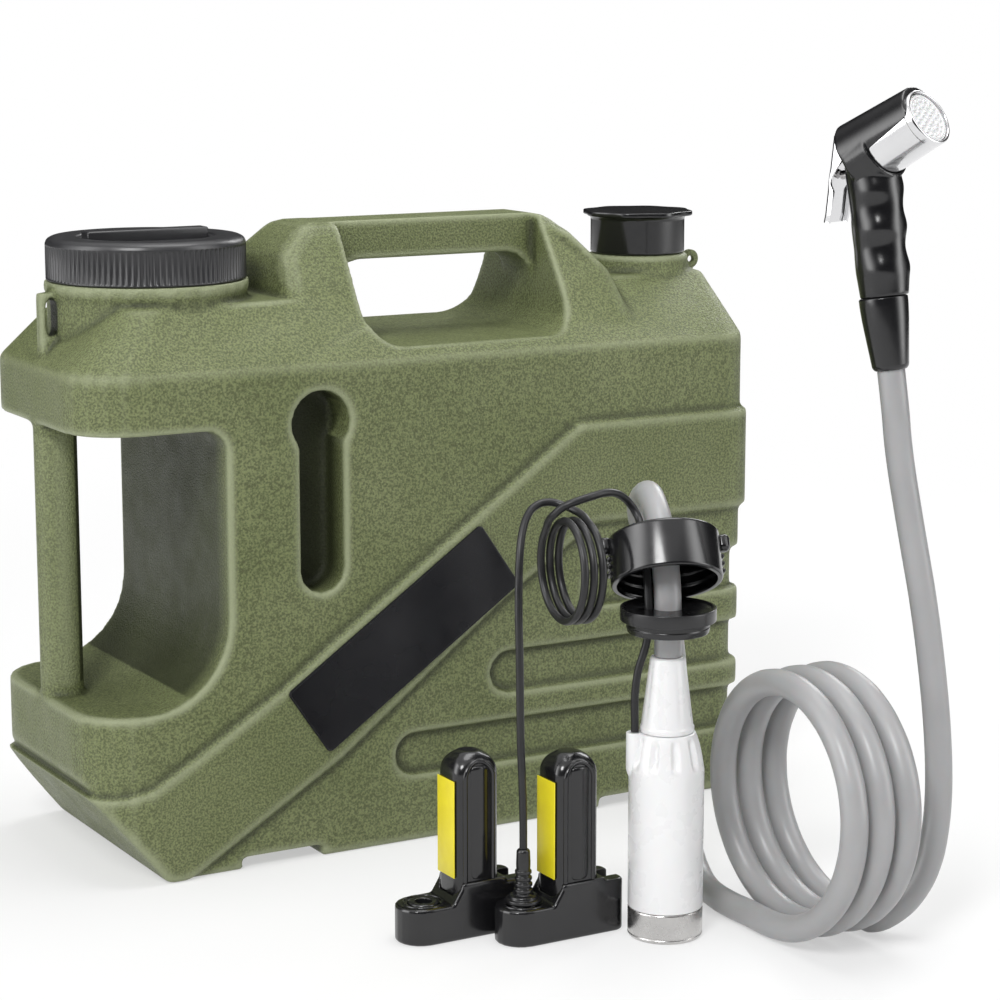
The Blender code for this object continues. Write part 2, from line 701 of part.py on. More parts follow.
def tank_shell():
    """The blow-moulded can, one hollow body."""
    can = grooved_block("tank_shell", 0.0, OLIVE)
    mould(can, band(), "UNION")
    mould(can, ridge(), "UNION")
    mouth = (
        (0, NECK_TOP_Z),
        (NECK_RADIUS, NECK_TOP_Z),
        (NECK_RADIUS, MOUTH_SEAT_Z),
        (MOUTH_FLANGE_RADIUS, MOUTH_SEAT_Z),
        (MOUTH_FLANGE_RADIUS, MOUTH_FLANGE_Z),
        (TURRET_RADIUS, MOUTH_FLANGE_Z),
        (TURRET_RADIUS, CAN_SHOULDER_Z - ROOT),
        (0, CAN_SHOULDER_Z - ROOT),
    )
    mould(can, neck("mouth_neck", MOUTH_X, mouth), "UNION")
    spout = (
        (0, SPOUT_TOP_Z),
        (SPOUT_RADIUS, SPOUT_TOP_Z),
        (SPOUT_RADIUS, SPOUT_SEAT_Z),
        (SPOUT_RING_RADIUS, SPOUT_SEAT_Z),
        (SPOUT_RING_RADIUS, (SPOUT_SEAT_Z + CAN_DECK_Z) / 2),
        (SPOUT_FOOT_RADIUS, CAN_DECK_Z),
        (SPOUT_FOOT_RADIUS, CAN_DECK_Z - ROOT),
        (0, CAN_DECK_Z - ROOT),
    )
    mould(can, neck("spout_neck", SPOUT_X, spout), "UNION")
    mould(can, thread("mouth_thread", MOUTH_X, NECK_RADIUS, MOUTH_SEAT_Z, NECK_TOP_Z, LID_PITCH), "UNION")
    mould(can, thread("spout_thread", SPOUT_X, SPOUT_RADIUS, SPOUT_SEAT_Z, SPOUT_TOP_Z, CAP_PITCH), "UNION")
    fin = (
        (can_x(FIN_X), -FIN_WIDTH / 2, CAN_SHOULDER_Z - ROOT),
        (can_x(MOUTH_X), FIN_WIDTH / 2, MOUTH_FLANGE_Z + MM),
    )
    mould(can, block("strap_fin", *fin), "UNION")
    slot = (
        (can_x(STRAP_SLOT_X), -CAN_WIDTH, STRAP_LOW_Z),
        (can_x(STRAP_SLOT_X + STRAP_SLOT_WIDTH), CAN_WIDTH, STRAP_LOW_Z + STRAP_SLOT_HEIGHT),
    )
    mould(can, block("strap_slot", *slot))
    mould(can, slab("grip_opening", grip_outline(0.0), CAN_WIDTH, FACING_FRONT))
    pillar = (can_x(PILLAR_X), 0, GRIP_LOW_Z - ROOT), (can_x(PILLAR_X), 0, GRIP_HIGH_Z + ROOT)
    mould(can, rod("pillar", *pillar, PILLAR_RADIUS, 24), "UNION")
    hand = rounded_box(
        (can_x(HAND_LEFT), HAND_LOW_Z), (can_x(HAND_RIGHT), HAND_HIGH_Z), HAND_RADIUS
    )
    mould(can, slab("hand_hole", hand, CAN_WIDTH, FACING_FRONT))
    for side in (-1, 1):
        inner, outer = side * BAR_HALF_WIDTH, side * (RIDGE_BASE_HALF + MM)
        low = (can_x(HAND_LEFT), min(inner, outer), HAND_HIGH_Z - HAND_RADIUS + MM)
        high = (can_x(HAND_RIGHT), max(inner, outer), HAND_HIGH_Z + 2 * ROOT)
        mould(can, block(f"bar_side_{side + 1}", low, high))
        mould(can, keyhole(f"keyhole_{side + 1}", side, 0.0))
    for number, (start, end) in enumerate(FOOT_GAPS):
        low = (can_x(start), -CAN_WIDTH, -FOOT_RECESS)
        high = (can_x(end), CAN_WIDTH, FOOT_RECESS)
        mould(can, block(f"foot_gap_{number}", low, high))
    end = can_x(CAN_RIGHT)
    root = end - EYELET_OUT
    loop = [(root, EYELET_Z - ROOT), (end + EYELET_OUT / 2, EYELET_Z - ROOT)]
    loop += arc((end + EYELET_OUT, EYELET_Z), EYELET_RADIUS, 0, 180, 10)
    loop += [(root, CAN_DECK_Z)]
    mould(can, slab("eyelet", loop, EYELET_THICKNESS / 2, FACING_FRONT), "UNION")
    near = (end + EYELET_OUT, -ROOT, EYELET_Z)
    far = (end + EYELET_OUT, ROOT, EYELET_Z)
    mould(can, rod("eyelet_hole", near, far, EYELET_HOLE, 12))
    mould(can, can_hollow())
    return smooth(merge_flats(can))


def axis_empty(name, place, matrix=None):
    """An empty on a joint axis, or a frame to build a unit in."""
    empty = bpy.data.objects.new(name, None)
    empty.empty_display_size = 20 * MM
    PARTS.objects.link(empty)
    empty.matrix_world = Matrix.Translation(place) @ (matrix or FACING_UP)
    bpy.context.view_layer.update()
    return empty


def hang(empty, *items):
    """Parents finished pieces to an empty and leaves them where they are."""
    for item in items:
        item.parent = empty
        item.matrix_parent_inverse = empty.matrix_world.inverted()


def seat_in(frame, item):
    """Parents a piece modelled in the frame's own coordinates, with the tools cut into it so far."""
    item.parent = frame
    for modifier in item.modifiers:
        if modifier.type == "BOOLEAN":
            modifier.object.parent = frame
    return item


def label_plate():
    outline = rounded_box(
        (-PLATE_LENGTH / 2, -PLATE_HEIGHT / 2), (PLATE_LENGTH / 2, PLATE_HEIGHT / 2), PLATE_RADIUS
    )
    front = -CAN_WIDTH / 2 - BAND_PROUD - GAP - PLATE_THICKNESS / 2
    plate = slab(
        "label_plate",
        outline,
        PLATE_THICKNESS / 2,
        FACING_FRONT @ Matrix.Rotation(BAND_ANGLE, 4, "Z"),
        (can_x(PLATE_X), front, PLATE_Z),
        BLACK,
    )
    return plate


def lid_inner_top():
    return NECK_TOP_Z + GASKET_THICKNESS + 2 * GAP


def lid_top():
    return lid_inner_top() + LID_THICKNESS


def lid():
    """The wide screw lid: ribbed rim, sunk disc and a flat bar to turn it by."""
    rim = []
    for tooth in range(2 * LID_RIBS):
        angle = math.pi * tooth / LID_RIBS
        radius = LID_RADIUS - (tooth % 2) * LID_RIB_DEPTH
        rim.append((radius * math.cos(angle), radius * math.sin(angle)))
    low = MOUTH_SEAT_Z + GAP
    top = lid_top()
    high = top - LID_BEVEL
    centre = can_x(MOUTH_X)
    cover = slab("lid", rim, (high - low) / 2, FACING_UP, (centre, 0, (low + high) / 2), BLACK)
    crown = (
        (0, top),
        (LID_RADIUS - LID_BEVEL - LID_RIB_DEPTH, top),
        (LID_RADIUS - LID_RIB_DEPTH - 0.3 * LID_BEVEL, high + 0.3 * LID_BEVEL),
        (LID_RADIUS - LID_RIB_DEPTH - 0.3 * LID_BEVEL, high - LID_BEVEL),
        (0, high - LID_BEVEL),
    )
    mould(cover, turned("lid_crown", crown, 40, (centre, 0, 0)), "UNION")
    bore = NECK_RADIUS + THREAD_HEIGHT + LID_SKIRT_CLEARANCE
    inside = rod("lid_bore", (centre, 0, low - 10 * MM), (centre, 0, lid_inner_top()), bore, 40)
    mould(cover, inside)
    floor = top - LID_RECESS_DEPTH
    sunk = rod("lid_recess", (centre, 0, floor), (centre, 0, top + ROOT), LID_RECESS_RADIUS, 40)
    mould(cover, sunk)
    half_length, half_width = LID_BAR_LENGTH / 2, LID_BAR_WIDTH / 2
    bar = block(
        "lid_bar",
        (centre - half_length, -half_width, floor - MM),
        (centre + half_length, half_width, top + LID_BAR_RISE),
    )
    mould(cover, bar, "UNION")
    return smooth(merge_flats(cover), 20)


def ring(name, centre, inner, outer, low, high, material, steps=24):
    profile = ((outer, high), (outer, low), (inner, low), (inner, high))
    return smooth(turned(name, profile, steps, centre, material))


def screw_cap(name, material, bore, flange, place=(0, 0, 0)):
    """A screw cap standing open end down, with two lugs; bore opens its top, flange widens it."""
    inner = SPOUT_RADIUS + THREAD_HEIGHT + 0.8 * MM
    under = CAP_HEIGHT - CAP_TOP
    profile = (
        (0, CAP_HEIGHT),
        (CAP_RADIUS - 1 * MM, CAP_HEIGHT),
        (CAP_RADIUS, CAP_HEIGHT - 1 * MM),
        (CAP_RADIUS, 0),
        (inner, 0),
        (inner, under),
        (0, under),
    )
    cup = turned(name, profile, 28, place, material)
    for side in (-1, 1):
        at = Vector(place) + Vector((side * (CAP_RADIUS + LUG_RADIUS / 2), 0, CAP_HEIGHT - LUG_HEIGHT))
        top = at + Vector((0, 0, LUG_HEIGHT - 1.5 * MM))
        combine(cup, rod(f"{name}_lug_{side + 1}", at, top, LUG_RADIUS, 16), "UNION")
    if flange:
        rim = []
        for step in range(CAP_WAVES * 6):
            angle = math.tau * step / (CAP_WAVES * 6)
            radius = CAP_FLANGE_RADIUS + CAP_WAVE_DEPTH * math.cos(CAP_WAVES * angle)
            rim.append((radius * math.cos(angle), radius * math.sin(angle)))
        at = Vector(place) + Vector((0, 0, CAP_HEIGHT - CAP_FLANGE_HEIGHT / 2 + 0.4 * MM))
        combine(cup, slab(name + "_flange", rim, CAP_FLANGE_HEIGHT / 2, FACING_UP, at), "UNION")
    if bore:
        low = Vector(place) + Vector((0, 0, under - 5 * MM))
        high = Vector(place) + Vector((0, 0, CAP_HEIGHT + 5 * MM))
        combine(cup, rod(name + "_bore", low, high, bore, 28))
    return smooth(merge_flats(cup))


def spout_cap():
    return screw_cap("spout_cap", BLACK, 0, True, (can_x(SPOUT_X), 0, SPOUT_SEAT_Z + GAP))


FEED_BACK = Vector((math.sin(FEED_HEADING), math.cos(FEED_HEADING), 0))
FEED_LEFT = Vector((-math.cos(FEED_HEADING), math.sin(FEED_HEADING), 0))
PUMP_AXIS = Vector((PUMP_X, PUMP_Y, 0))


def feed_point(angle, left=0.0):
    """A point on the hose's bend above the pump, angle in radians from straight up."""
    back = FEED_BEND * (1 - math.cos(angle))
    height = FEED_START_Z + FEED_BEND * math.sin(angle)
    return PUMP_AXIS + FEED_BACK * back + FEED_LEFT * left + Vector((0, 0, height))


def collar_frame():
    """The collar's own axes: Z up the bend at its middle, X to the right."""
    along = FEED_BACK * math.sin(COLLAR_TILT) + Vector((0, 0, math.cos(COLLAR_TILT)))
    right = -FEED_LEFT
    depth = along.cross(right)
    turn = Matrix((right, depth, along)).transposed().to_4x4()
    place = feed_point(COLLAR_TILT) - along * CAP_HEIGHT * COLLAR_MID
    return axis_empty("collar_axis", place, turn)


def collar(frame):
    return seat_in(frame, screw_cap("collar", BLACK, GROMMET_RADIUS + GAP, False))


CABLE_UP = ((17.4, 122), (17.2, 133), (15.6, 145), (12.6, 155), (10.7, 163))


def cable_rise():
    """The cable's way up beside the nose: distance to the left of the pump's axis, and height."""
    return [PUMP_AXIS + FEED_LEFT * left * MM + Vector((0, 0, height * MM)) for left, height in CABLE_UP]


def way(name, points, radius):
    """A cutter along a stretch of hose or cable."""
    curve = bpy.data.curves.new(name, "CURVE")
    curve.dimensions = "3D"
    curve.bevel_depth = radius
    curve.bevel_resolution = 3
    curve.use_fill_caps = True
    spline = curve.splines.new("POLY")
    spline.points.add(len(points) - 1)
    for spot, point in zip(spline.points, points):
        spot.co = (*point, 1)
    return solid_of_curve(name, curve, FACING_UP)


def feed_ways(name):
    """Cutters for the hose and the cable where they run up and over above the pump."""
    angles = [math.radians(angle) for angle in range(0, 72, 6)]
    hose_line = [PUMP_AXIS + Vector((0, 0, NOSE_TOP_Z)), *(feed_point(angle) for angle in angles)]
    cable_line = [*cable_rise()[-2:], *(feed_point(angle, CABLE_OUT) for angle in angles)]
    yield way(name + "_hose_way", hose_line, HOSE_RADIUS + FEED_CLEARANCE)
    yield way(name + "_cable_way", cable_line, CABLE_RADIUS + FEED_CLEARANCE)


def collar_grommet(frame):
    """The rubber seal in the collar's top, domed, with a way through for hose and cable."""
    under = CAP_HEIGHT - CAP_TOP - GAP
    lip = GROMMET_RADIUS + GROMMET_LIP
    profile = (
        (0, CAP_HEIGHT + GROMMET_DOME),
        (GROMMET_RADIUS * 0.66, CAP_HEIGHT + GROMMET_DOME * 0.92),
        (GROMMET_RADIUS * 0.9, CAP_HEIGHT + GROMMET_DOME * 0.55),
        (GROMMET_RADIUS + 1.2 * MM, CAP_HEIGHT + GAP),
        (GROMMET_RADIUS, CAP_HEIGHT + GAP),
        (GROMMET_RADIUS, under),
        (lip, under),
        (lip, under - 2 * MM),
        (0, under - 2 * MM),
    )
    seal = seat_in(frame, turned("collar_grommet", profile, 24, (0, 0, 0), RUBBER))
    for cutter in feed_ways("grommet"):
        combine(seal, cutter)
    return smooth(merge_flats(seal))


def stopper():
    """The stepped plug that closes the spout round hose and cable."""
    top = STOPPER_LOW_Z + STOPPER_HEIGHT
    step = STOPPER_LOW_Z + STOPPER_LOW_HEIGHT
    profile = (
        (0, top),
        (STOPPER_RADIUS - 1 * MM, top),
        (STOPPER_RADIUS, top - 1 * MM),
        (STOPPER_RADIUS, step),
        (STOPPER_LOW_RADIUS, step),
        (STOPPER_LOW_RADIUS - 0.8 * MM, STOPPER_LOW_Z),
        (0, STOPPER_LOW_Z),
    )
    plug = turned("stopper", profile, 28, PUMP_AXIS, RUBBER)
    for cutter in feed_ways("stopper"):
        combine(plug, cutter)
    return smooth(merge_flats(plug))


def pump_housing():
    """The white can of the pump, open below, with its cable boss and fluted shoulder."""
    low = PUMP_BASE_HEIGHT + GAP
    inner = PUMP_RADIUS - PUMP_WALL
    roof = PUMP_SHOULDER_Z + 4 * MM
    profile = (
        (0, PUMP_SHOULDER_TOP_Z),
        (PUMP_SHOULDER_RADIUS, PUMP_SHOULDER_TOP_Z),
        (PUMP_SHOULDER_RADIUS + 0.6 * MM, PUMP_SHOULDER_TOP_Z - 3 * MM),
        (PUMP_RADIUS - 1 * MM, PUMP_SHOULDER_Z + 4 * MM),
        (PUMP_RADIUS, PUMP_SHOULDER_Z),
        (PUMP_RADIUS, low),
        (inner, low),
        (inner, roof),
        (0, roof),
    )
    shell = turned("pump_housing", profile, 32, PUMP_AXIS, WHITE)
    for number in range(PUMP_FLUTES):
        angle = math.tau * (number + 0.5) / PUMP_FLUTES
        out = Vector((math.cos(angle), math.sin(angle), 0))
        start = PUMP_AXIS + out * (PUMP_RADIUS + 1.6 * MM) + Vector((0, 0, PUMP_SHOULDER_Z + 1 * MM))
        end = PUMP_AXIS + out * (PUMP_SHOULDER_RADIUS + 1.9 * MM)
        end.z = PUMP_SHOULDER_TOP_Z + 4 * MM
        mould(shell, rod(f"flute_{number}", start, end, PUMP_FLUTE_RADIUS, 8))
    at = PUMP_AXIS + FEED_LEFT * BOSS_OUT
    foot, head = at + Vector((0, 0, BOSS_LOW_Z)), at + Vector((0, 0, PUMP_SHOULDER_TOP_Z))
    boss = rod("boss", foot, head, BOSS_RADIUS, 16)
    mould(shell, boss, "UNION")
    low, high = PUMP_AXIS + Vector((0, 0, roof - 8 * MM)), PUMP_AXIS + Vector((0, 0, 125 * MM))
    mould(shell, rod("outlet_way", low, high, NOSE_BORE, 20))
    return smooth(merge_flats(shell))


def pump_nose():
    low = PUMP_SHOULDER_TOP_Z + GAP
    profile = (
        (NOSE_TOP_RADIUS - 0.8 * MM, NOSE_TOP_Z),
        (NOSE_TOP_RADIUS, NOSE_TOP_Z - 1 * MM),
        (NOSE_LOW_RADIUS, low + 2 * MM),
        (NOSE_LOW_RADIUS, low),
        (NOSE_BORE, low),
        (NOSE_BORE, NOSE_TOP_Z),
    )
    return smooth(turned("pump_nose", profile, 20, PUMP_AXIS, WHITE))


def pump_base_ring():
    """The steel foot: a ring with an inner ledge that the screen lies on."""
    ledge = SCREEN_THICKNESS + 1 * MM
    inner = PUMP_RADIUS - 1.2 * MM
    profile = (
        (PUMP_RADIUS, PUMP_BASE_HEIGHT),
        (PUMP_RADIUS, 0.8 * MM),
        (PUMP_RADIUS - 0.8 * MM, 0),
        (inner - 2.5 * MM, 0),
        (inner - 2.5 * MM, ledge - SCREEN_THICKNESS),
        (inner, ledge - SCREEN_THICKNESS),
        (inner, PUMP_BASE_HEIGHT),
    )
    return smooth(turned("pump_base_ring", profile, 24, PUMP_AXIS, STEEL))


def pump_screen():
    """The slotted inlet plate in the pump's foot."""
    radius = PUMP_RADIUS - 1.2 * MM - GAP
    low = 1 * MM + GAP
    plate = rod(
        "pump_screen",
        PUMP_AXIS + Vector((0, 0, low)),
        PUMP_AXIS + Vector((0, 0, low + SCREEN_THICKNESS)),
        radius,
        32,
        STEEL,
    )
    for number in range(SCREEN_SLOTS):
        turn = Matrix.Translation(PUMP_AXIS) @ Matrix.Rotation(math.tau * number / SCREEN_SLOTS, 4, "Z")
        slot = block(
            f"screen_slot_{number}",
            (5 * MM, -1.4 * MM, -5 * MM),
            (14 * MM, 1.4 * MM, 10 * MM),
            matrix=turn,
        )
        combine(plate, slot)
    return plate


def pump_impeller():
    """Hub, back plate and vanes of the impeller."""
    low = SCREEN_THICKNESS + IMPELLER_CLEAR
    plate_top = low + IMPELLER_HEIGHT
    wheel = rod(
        "pump_impeller",
        PUMP_AXIS + Vector((0, 0, plate_top - 1.6 * MM)),
        PUMP_AXIS + Vector((0, 0, plate_top)),
        IMPELLER_RADIUS,
        32,
        WHITE,
    )
    foot, head = PUMP_AXIS + Vector((0, 0, low)), PUMP_AXIS + Vector((0, 0, plate_top - 0.5 * MM))
    combine(wheel, rod("impeller_hub", foot, head, 4 * MM), "UNION")
    for number in range(IMPELLER_VANES):
        turn = Matrix.Translation(PUMP_AXIS) @ Matrix.Rotation(math.tau * number / IMPELLER_VANES, 4, "Z")
        vane = block(
            f"vane_{number}",
            (3 * MM, -0.6 * MM, low),
            (IMPELLER_RADIUS - 0.6 * MM, 0.6 * MM, plate_top - 1 * MM),
            matrix=turn,
        )
        combine(wheel, vane, "UNION")
    bore = rod(
        "impeller_bore", PUMP_AXIS, PUMP_AXIS + Vector((0, 0, 40 * MM)), SHAFT_RADIUS + GAP, 16
    )
    combine(wheel, bore)
    return smooth(merge_flats(wheel))


def pump_inside():
    """Shaft, diffuser plate, motor and the seal above it, stacked in the housing."""
    low = SCREEN_THICKNESS + IMPELLER_CLEAR
    shaft = rod(
        "pump_shaft",
        PUMP_AXIS + Vector((0, 0, low)),
        PUMP_AXIS + Vector((0, 0, MOTOR_LOW_Z + SHAFT_DEPTH)),
        SHAFT_RADIUS,
        16,
        STEEL,
    )
    snug = PUMP_RADIUS - PUMP_WALL - GAP
    bore = SHAFT_RADIUS + GAP
    high = MOTOR_LOW_Z - GAP
    diffuser = ring(
        "pump_diffuser", PUMP_AXIS, bore, snug, high - DIFFUSER_THICKNESS, high, WHITE
    )
    profile = (
        (0, MOTOR_LOW_Z + MOTOR_HEIGHT),
        (snug, MOTOR_LOW_Z + MOTOR_HEIGHT),
        (snug, MOTOR_LOW_Z),
        (bore, MOTOR_LOW_Z),
        (bore, MOTOR_LOW_Z + SHAFT_DEPTH + GAP),
        (0, MOTOR_LOW_Z + SHAFT_DEPTH + GAP),
    )
    motor = smooth(turned("pump_motor", profile, 24, PUMP_AXIS, STEEL))
    low = MOTOR_LOW_Z + MOTOR_HEIGHT + GAP
    seal = ring("pump_seal", PUMP_AXIS, NOSE_BORE, snug, low, low + SEAL_THICKNESS, RUBBER)
    return shaft, diffuser, motor, seal


def pack_outline():
    """Plan of a pack's foot: round at the socket end, near square at the other."""
    half = PACK_WIDTH / 2
    end = PACK_LENGTH - PACK_CORNER
    points = arc((half, half), half, 90, 270, 10)
    points += arc((end, PACK_CORNER), PACK_CORNER, -90, 0, 3)
    points += arc((end, PACK_WIDTH - PACK_CORNER), PACK_CORNER, 0, 90, 3)
    return points


def pack_foot(name, place):
    """The L-shaped foot: low round socket end, high part that holds the tower."""
    half_height = PACK_HIGH_HEIGHT / 2
    foot = slab(name, pack_outline(), half_height, FACING_UP, place + Vector((0, 0, half_height)), BLACK)
    step = (
        (-20 * MM, -10 * MM),
        (PACK_LENGTH + 20 * MM, -10 * MM),
        (PACK_LENGTH + 20 * MM, PACK_HIGH_HEIGHT - 2 * MM),
        (TOWER_X + TOWER_LENGTH + 3 * MM, PACK_HIGH_HEIGHT - 2 * MM),
        (TOWER_X + TOWER_LENGTH + 1 * MM, PACK_HIGH_HEIGHT + 10 * MM),
        (PACK_STEP_X, PACK_HIGH_HEIGHT + 10 * MM),
        (PACK_STEP_X - 1 * MM, PACK_HIGH_HEIGHT - 3 * MM),
        (PACK_STEP_X - 6 * MM, PACK_LOW_HEIGHT),
        (-20 * MM, PACK_LOW_HEIGHT),
    )
    middle = place + Vector((0, PACK_WIDTH / 2, 0))
    combine(foot, slab(name + "_side", step, PACK_WIDTH, FACING_FRONT, middle), "INTERSECT")
    round_edges(foot, 1.6 * MM, 1, 50)
    at = place + Vector((SOCKET_X, PACK_WIDTH / 2, 0))
    socket = rod(
        name + "_socket_hole",
        at + Vector((0, 0, PACK_LOW_HEIGHT - SOCKET_DEPTH - 3 * MM - GAP)),
        at + Vector((0, 0, PACK_LOW_HEIGHT + 10 * MM)),
        SOCKET_RADIUS + GAP,
        32,
    )
    combine(foot, socket)
    pocket_low = PACK_HIGH_HEIGHT - TOWER_SINK - 14 * MM
    pocket = slab(
        name + "_pocket",
        tower_outline(GAP),
        30 * MM,
        FACING_UP,
        place + Vector((0, 0, pocket_low + 30 * MM)),
    )
    combine(foot, pocket)
    notch = (
        place + Vector((PACK_LENGTH - 9 * MM, PACK_WIDTH / 2 - 5 * MM, PACK_HIGH_HEIGHT - 8 * MM)),
        place + Vector((PACK_LENGTH + 5 * MM, PACK_WIDTH / 2 + 5 * MM, PACK_HIGH_HEIGHT + 5 * MM)),
    )
    combine(foot, block(name + "_notch", *notch))
    return smooth(foot)


def tower_outline(grow, corner=TOWER_CORNER):
    """Plan of the tower, in the pack's own coordinates."""
    middle = PACK_WIDTH / 2
    low = (TOWER_X - grow, middle - TOWER_WIDTH / 2 - grow)
    high = (TOWER_X + TOWER_LENGTH + grow, middle + TOWER_WIDTH / 2 + grow)
    return rounded_box(low, high, corner + grow, 4)


def tower_base():
    return PACK_HIGH_HEIGHT - TOWER_SINK


def pack_tower(name, place):
    """The upright battery case: rounded box, domed top, open below for the cell."""
    base = tower_base()
    levels = [(0.0, base)]
    for step in range(TOWER_DOME_STEPS + 1):
        angle = math.radians(78) * step / TOWER_DOME_STEPS
        rise = TOWER_DOME * math.sin(angle)
        levels.append((TOWER_DOME * (1 - math.cos(angle)), TOWER_TOP_Z - TOWER_DOME + rise))
    rows = []
    for inset, height in levels:
        corner = TOWER_CORNER + inset * (TOWER_WIDTH / 2 - TOWER_CORNER) / TOWER_WIDTH * 2
        outline = tower_outline(-inset, min(corner + inset, TOWER_WIDTH / 2))
        rows.append([place + Vector((across, along, height)) for across, along in outline])
    tower = lofted(name, rows, BLACK)
    at = place + Vector((TOWER_X + TOWER_LENGTH / 2, PACK_WIDTH / 2, 0))
    low = at + Vector((0, 0, base - ROOT))
    high = at + Vector((0, 0, base + 2 * GAP + CELL_HEIGHT))
    combine(tower, rod(name + "_bore", low, high, CELL_RADIUS + GAP, 32))
    return smooth(tower)


def battery_pack(number, place):
    foot = pack_foot(f"pack_{number}_foot", place)
    tower = pack_tower(f"pack_{number}_tower", place)
    middle = PACK_WIDTH / 2
    base = tower_base()
    left = place.x + TOWER_X - GAP
    block(
        f"pack_{number}_label",
        (left - LABEL_THICKNESS, place.y + middle - LABEL_WIDTH / 2, LABEL_LOW_Z),
        (left, place.y + middle + LABEL_WIDTH / 2, LABEL_HIGH_Z),
        YELLOW,
    )
    at = place + Vector((TOWER_X + TOWER_LENGTH / 2, middle, 0))
    cell = rod(
        f"pack_{number}_cell",
        at + Vector((0, 0, base + GAP)),
        at + Vector((0, 0, base + GAP + CELL_HEIGHT)),
        CELL_RADIUS,
        24,
        CELL_BLUE,
    )
    smooth(cell)
    board_z = base - GAP - BOARD_THICKNESS / 2
    board = slab(
        f"pack_{number}_board", tower_outline(-1 * MM), BOARD_THICKNESS / 2, FACING_UP, place, GREEN
    )
    board.location.z = board_z
    top = PACK_LOW_HEIGHT + SOCKET_PROUD
    floor = top - SOCKET_DEPTH
    profile = (
        (0, top - 1.5 * MM),
        (PIN_RADIUS, top - 1.5 * MM),
        (PIN_RADIUS, floor),
        (SOCKET_WELL, floor),
        (SOCKET_WELL, top),
        (SOCKET_RADIUS - 0.6 * MM, top),
        (SOCKET_RADIUS, top - 0.6 * MM),
        (SOCKET_RADIUS, floor - 2.5 * MM),
        (0, floor - 2.5 * MM),
    )
    smooth(turned(f"pack_{number}_socket", profile, 16, socket_place(place), BLACK))
    return foot, tower


def socket_place(place):
    return place + Vector((SOCKET_X, PACK_WIDTH / 2, 0))


def cable_plug():
    """The round plug: barrel in the socket, flange on it, ribbed boot above."""
    seat = PACK_LOW_HEIGHT + SOCKET_PROUD + GAP
    barrel_low = seat - PLUG_BARREL
    profile = [(0, PLUG_TOP_Z), (PLUG_BOOT_TOP_RADIUS, PLUG_TOP_Z)]
    ribs = 3
    boot_low = seat + PLUG_FLANGE_HEIGHT
    for rib in range(ribs):
        share = (rib + 1) / (ribs + 1)
        radius = PLUG_BOOT_TOP_RADIUS + (PLUG_BOOT_RADIUS - PLUG_BOOT_TOP_RADIUS) * share
        middle = PLUG_TOP_Z - (PLUG_TOP_Z - boot_low) * share
        profile += [
            (radius, middle + 1.2 * MM),
            (radius - 0.9 * MM, middle + 0.7 * MM),
            (radius - 0.9 * MM, middle - 0.7 * MM),
            (radius, middle - 1.2 * MM),
        ]
    profile += [
        (PLUG_BOOT_RADIUS, boot_low),
        (PLUG_FLANGE_RADIUS, boot_low - 0.6 * MM),
        (PLUG_FLANGE_RADIUS, seat),
        (SOCKET_WELL - GAP, seat),
        (SOCKET_WELL - GAP, barrel_low),
        (PIN_RADIUS + 2 * GAP, barrel_low),
        (PIN_RADIUS + 2 * GAP, seat),
        (0, seat),
    ]
    return smooth(turned("cable_plug", profile, 14, socket_place(PACK_2), RUBBER))


def smooth_path(controls, spacing, start_heading, end_heading, lead):
    """Evenly spaced points on one smooth curve through hand-chosen points, with straight ends."""
    start, *between, end = controls
    start_heading, end_heading = Vector(start_heading), Vector(end_heading)
    controls = [start + start_heading * lead, *between, end - end_heading * lead]
    headings = []
    for number, point in enumerate(controls):
        before = controls[max(0, number - 1)]
        after = controls[min(len(controls) - 1, number + 1)]
        headings.append((after - before).normalized())
    headings[0] = start_heading
    headings[-1] = end_heading
    fine = []
    for number in range(len(controls) - 1):
        first, second = controls[number], controls[number + 1]
        reach = (second - first).length / 3
        knots = (first, first + headings[number] * reach, second - headings[number + 1] * reach, second)
        fine += interpolate_bezier(*knots, 40)[:-1]
    fine.append(controls[-1])
    length = sum((second - first).length for first, second in zip(fine, fine[1:]))
    count = max(2, round(length / spacing))
    points, walked, target = [fine[0]], 0.0, length / count
    for first, second in zip(fine, fine[1:]):
        step = (second - first).length
        while walked + step >= target and len(points) < count:
            points.append(first.lerp(second, (target - walked) / step))
            target += length / count
        walked += step
    return [start, *points, fine[-1], end]


def tube(name, points, radius, resolution, material):
    curve = bpy.data.curves.new(name, "CURVE")
    curve.dimensions = "3D"
    curve.bevel_depth = radius
    curve.bevel_resolution = resolution
    curve.use_fill_caps = True
    spline = curve.splines.new("POLY")
    spline.points.add(len(points) - 1)
    for spot, point in zip(spline.points, points):
        spot.co = (*point, 1)
    curve.materials.append(material)
    item = bpy.data.objects.new(name, curve)
    PARTS.objects.link(item)
    return item


def least_gap(name, points, radius):
    """Prints how close a wound tube comes to itself, measured between its points' segments."""
    least = 1.0
    apart = CABLE_LOOP_POINTS // 2
    for number, point in enumerate(points):
        for other in range(number + apart, len(points) - 1):
            first, second = points[other], points[other + 1]
            along = second - first
            share = min(1.0, max(0.0, (point - first).dot(along) / along.length_squared))
            least = min(least, (first + along * share - point).length - 2 * radius)
    print(f"{name}: least gap to itself {least / MM:.2f} mm")


def path_length(points):
    return sum((second - first).length for first, second in zip(points, points[1:]))


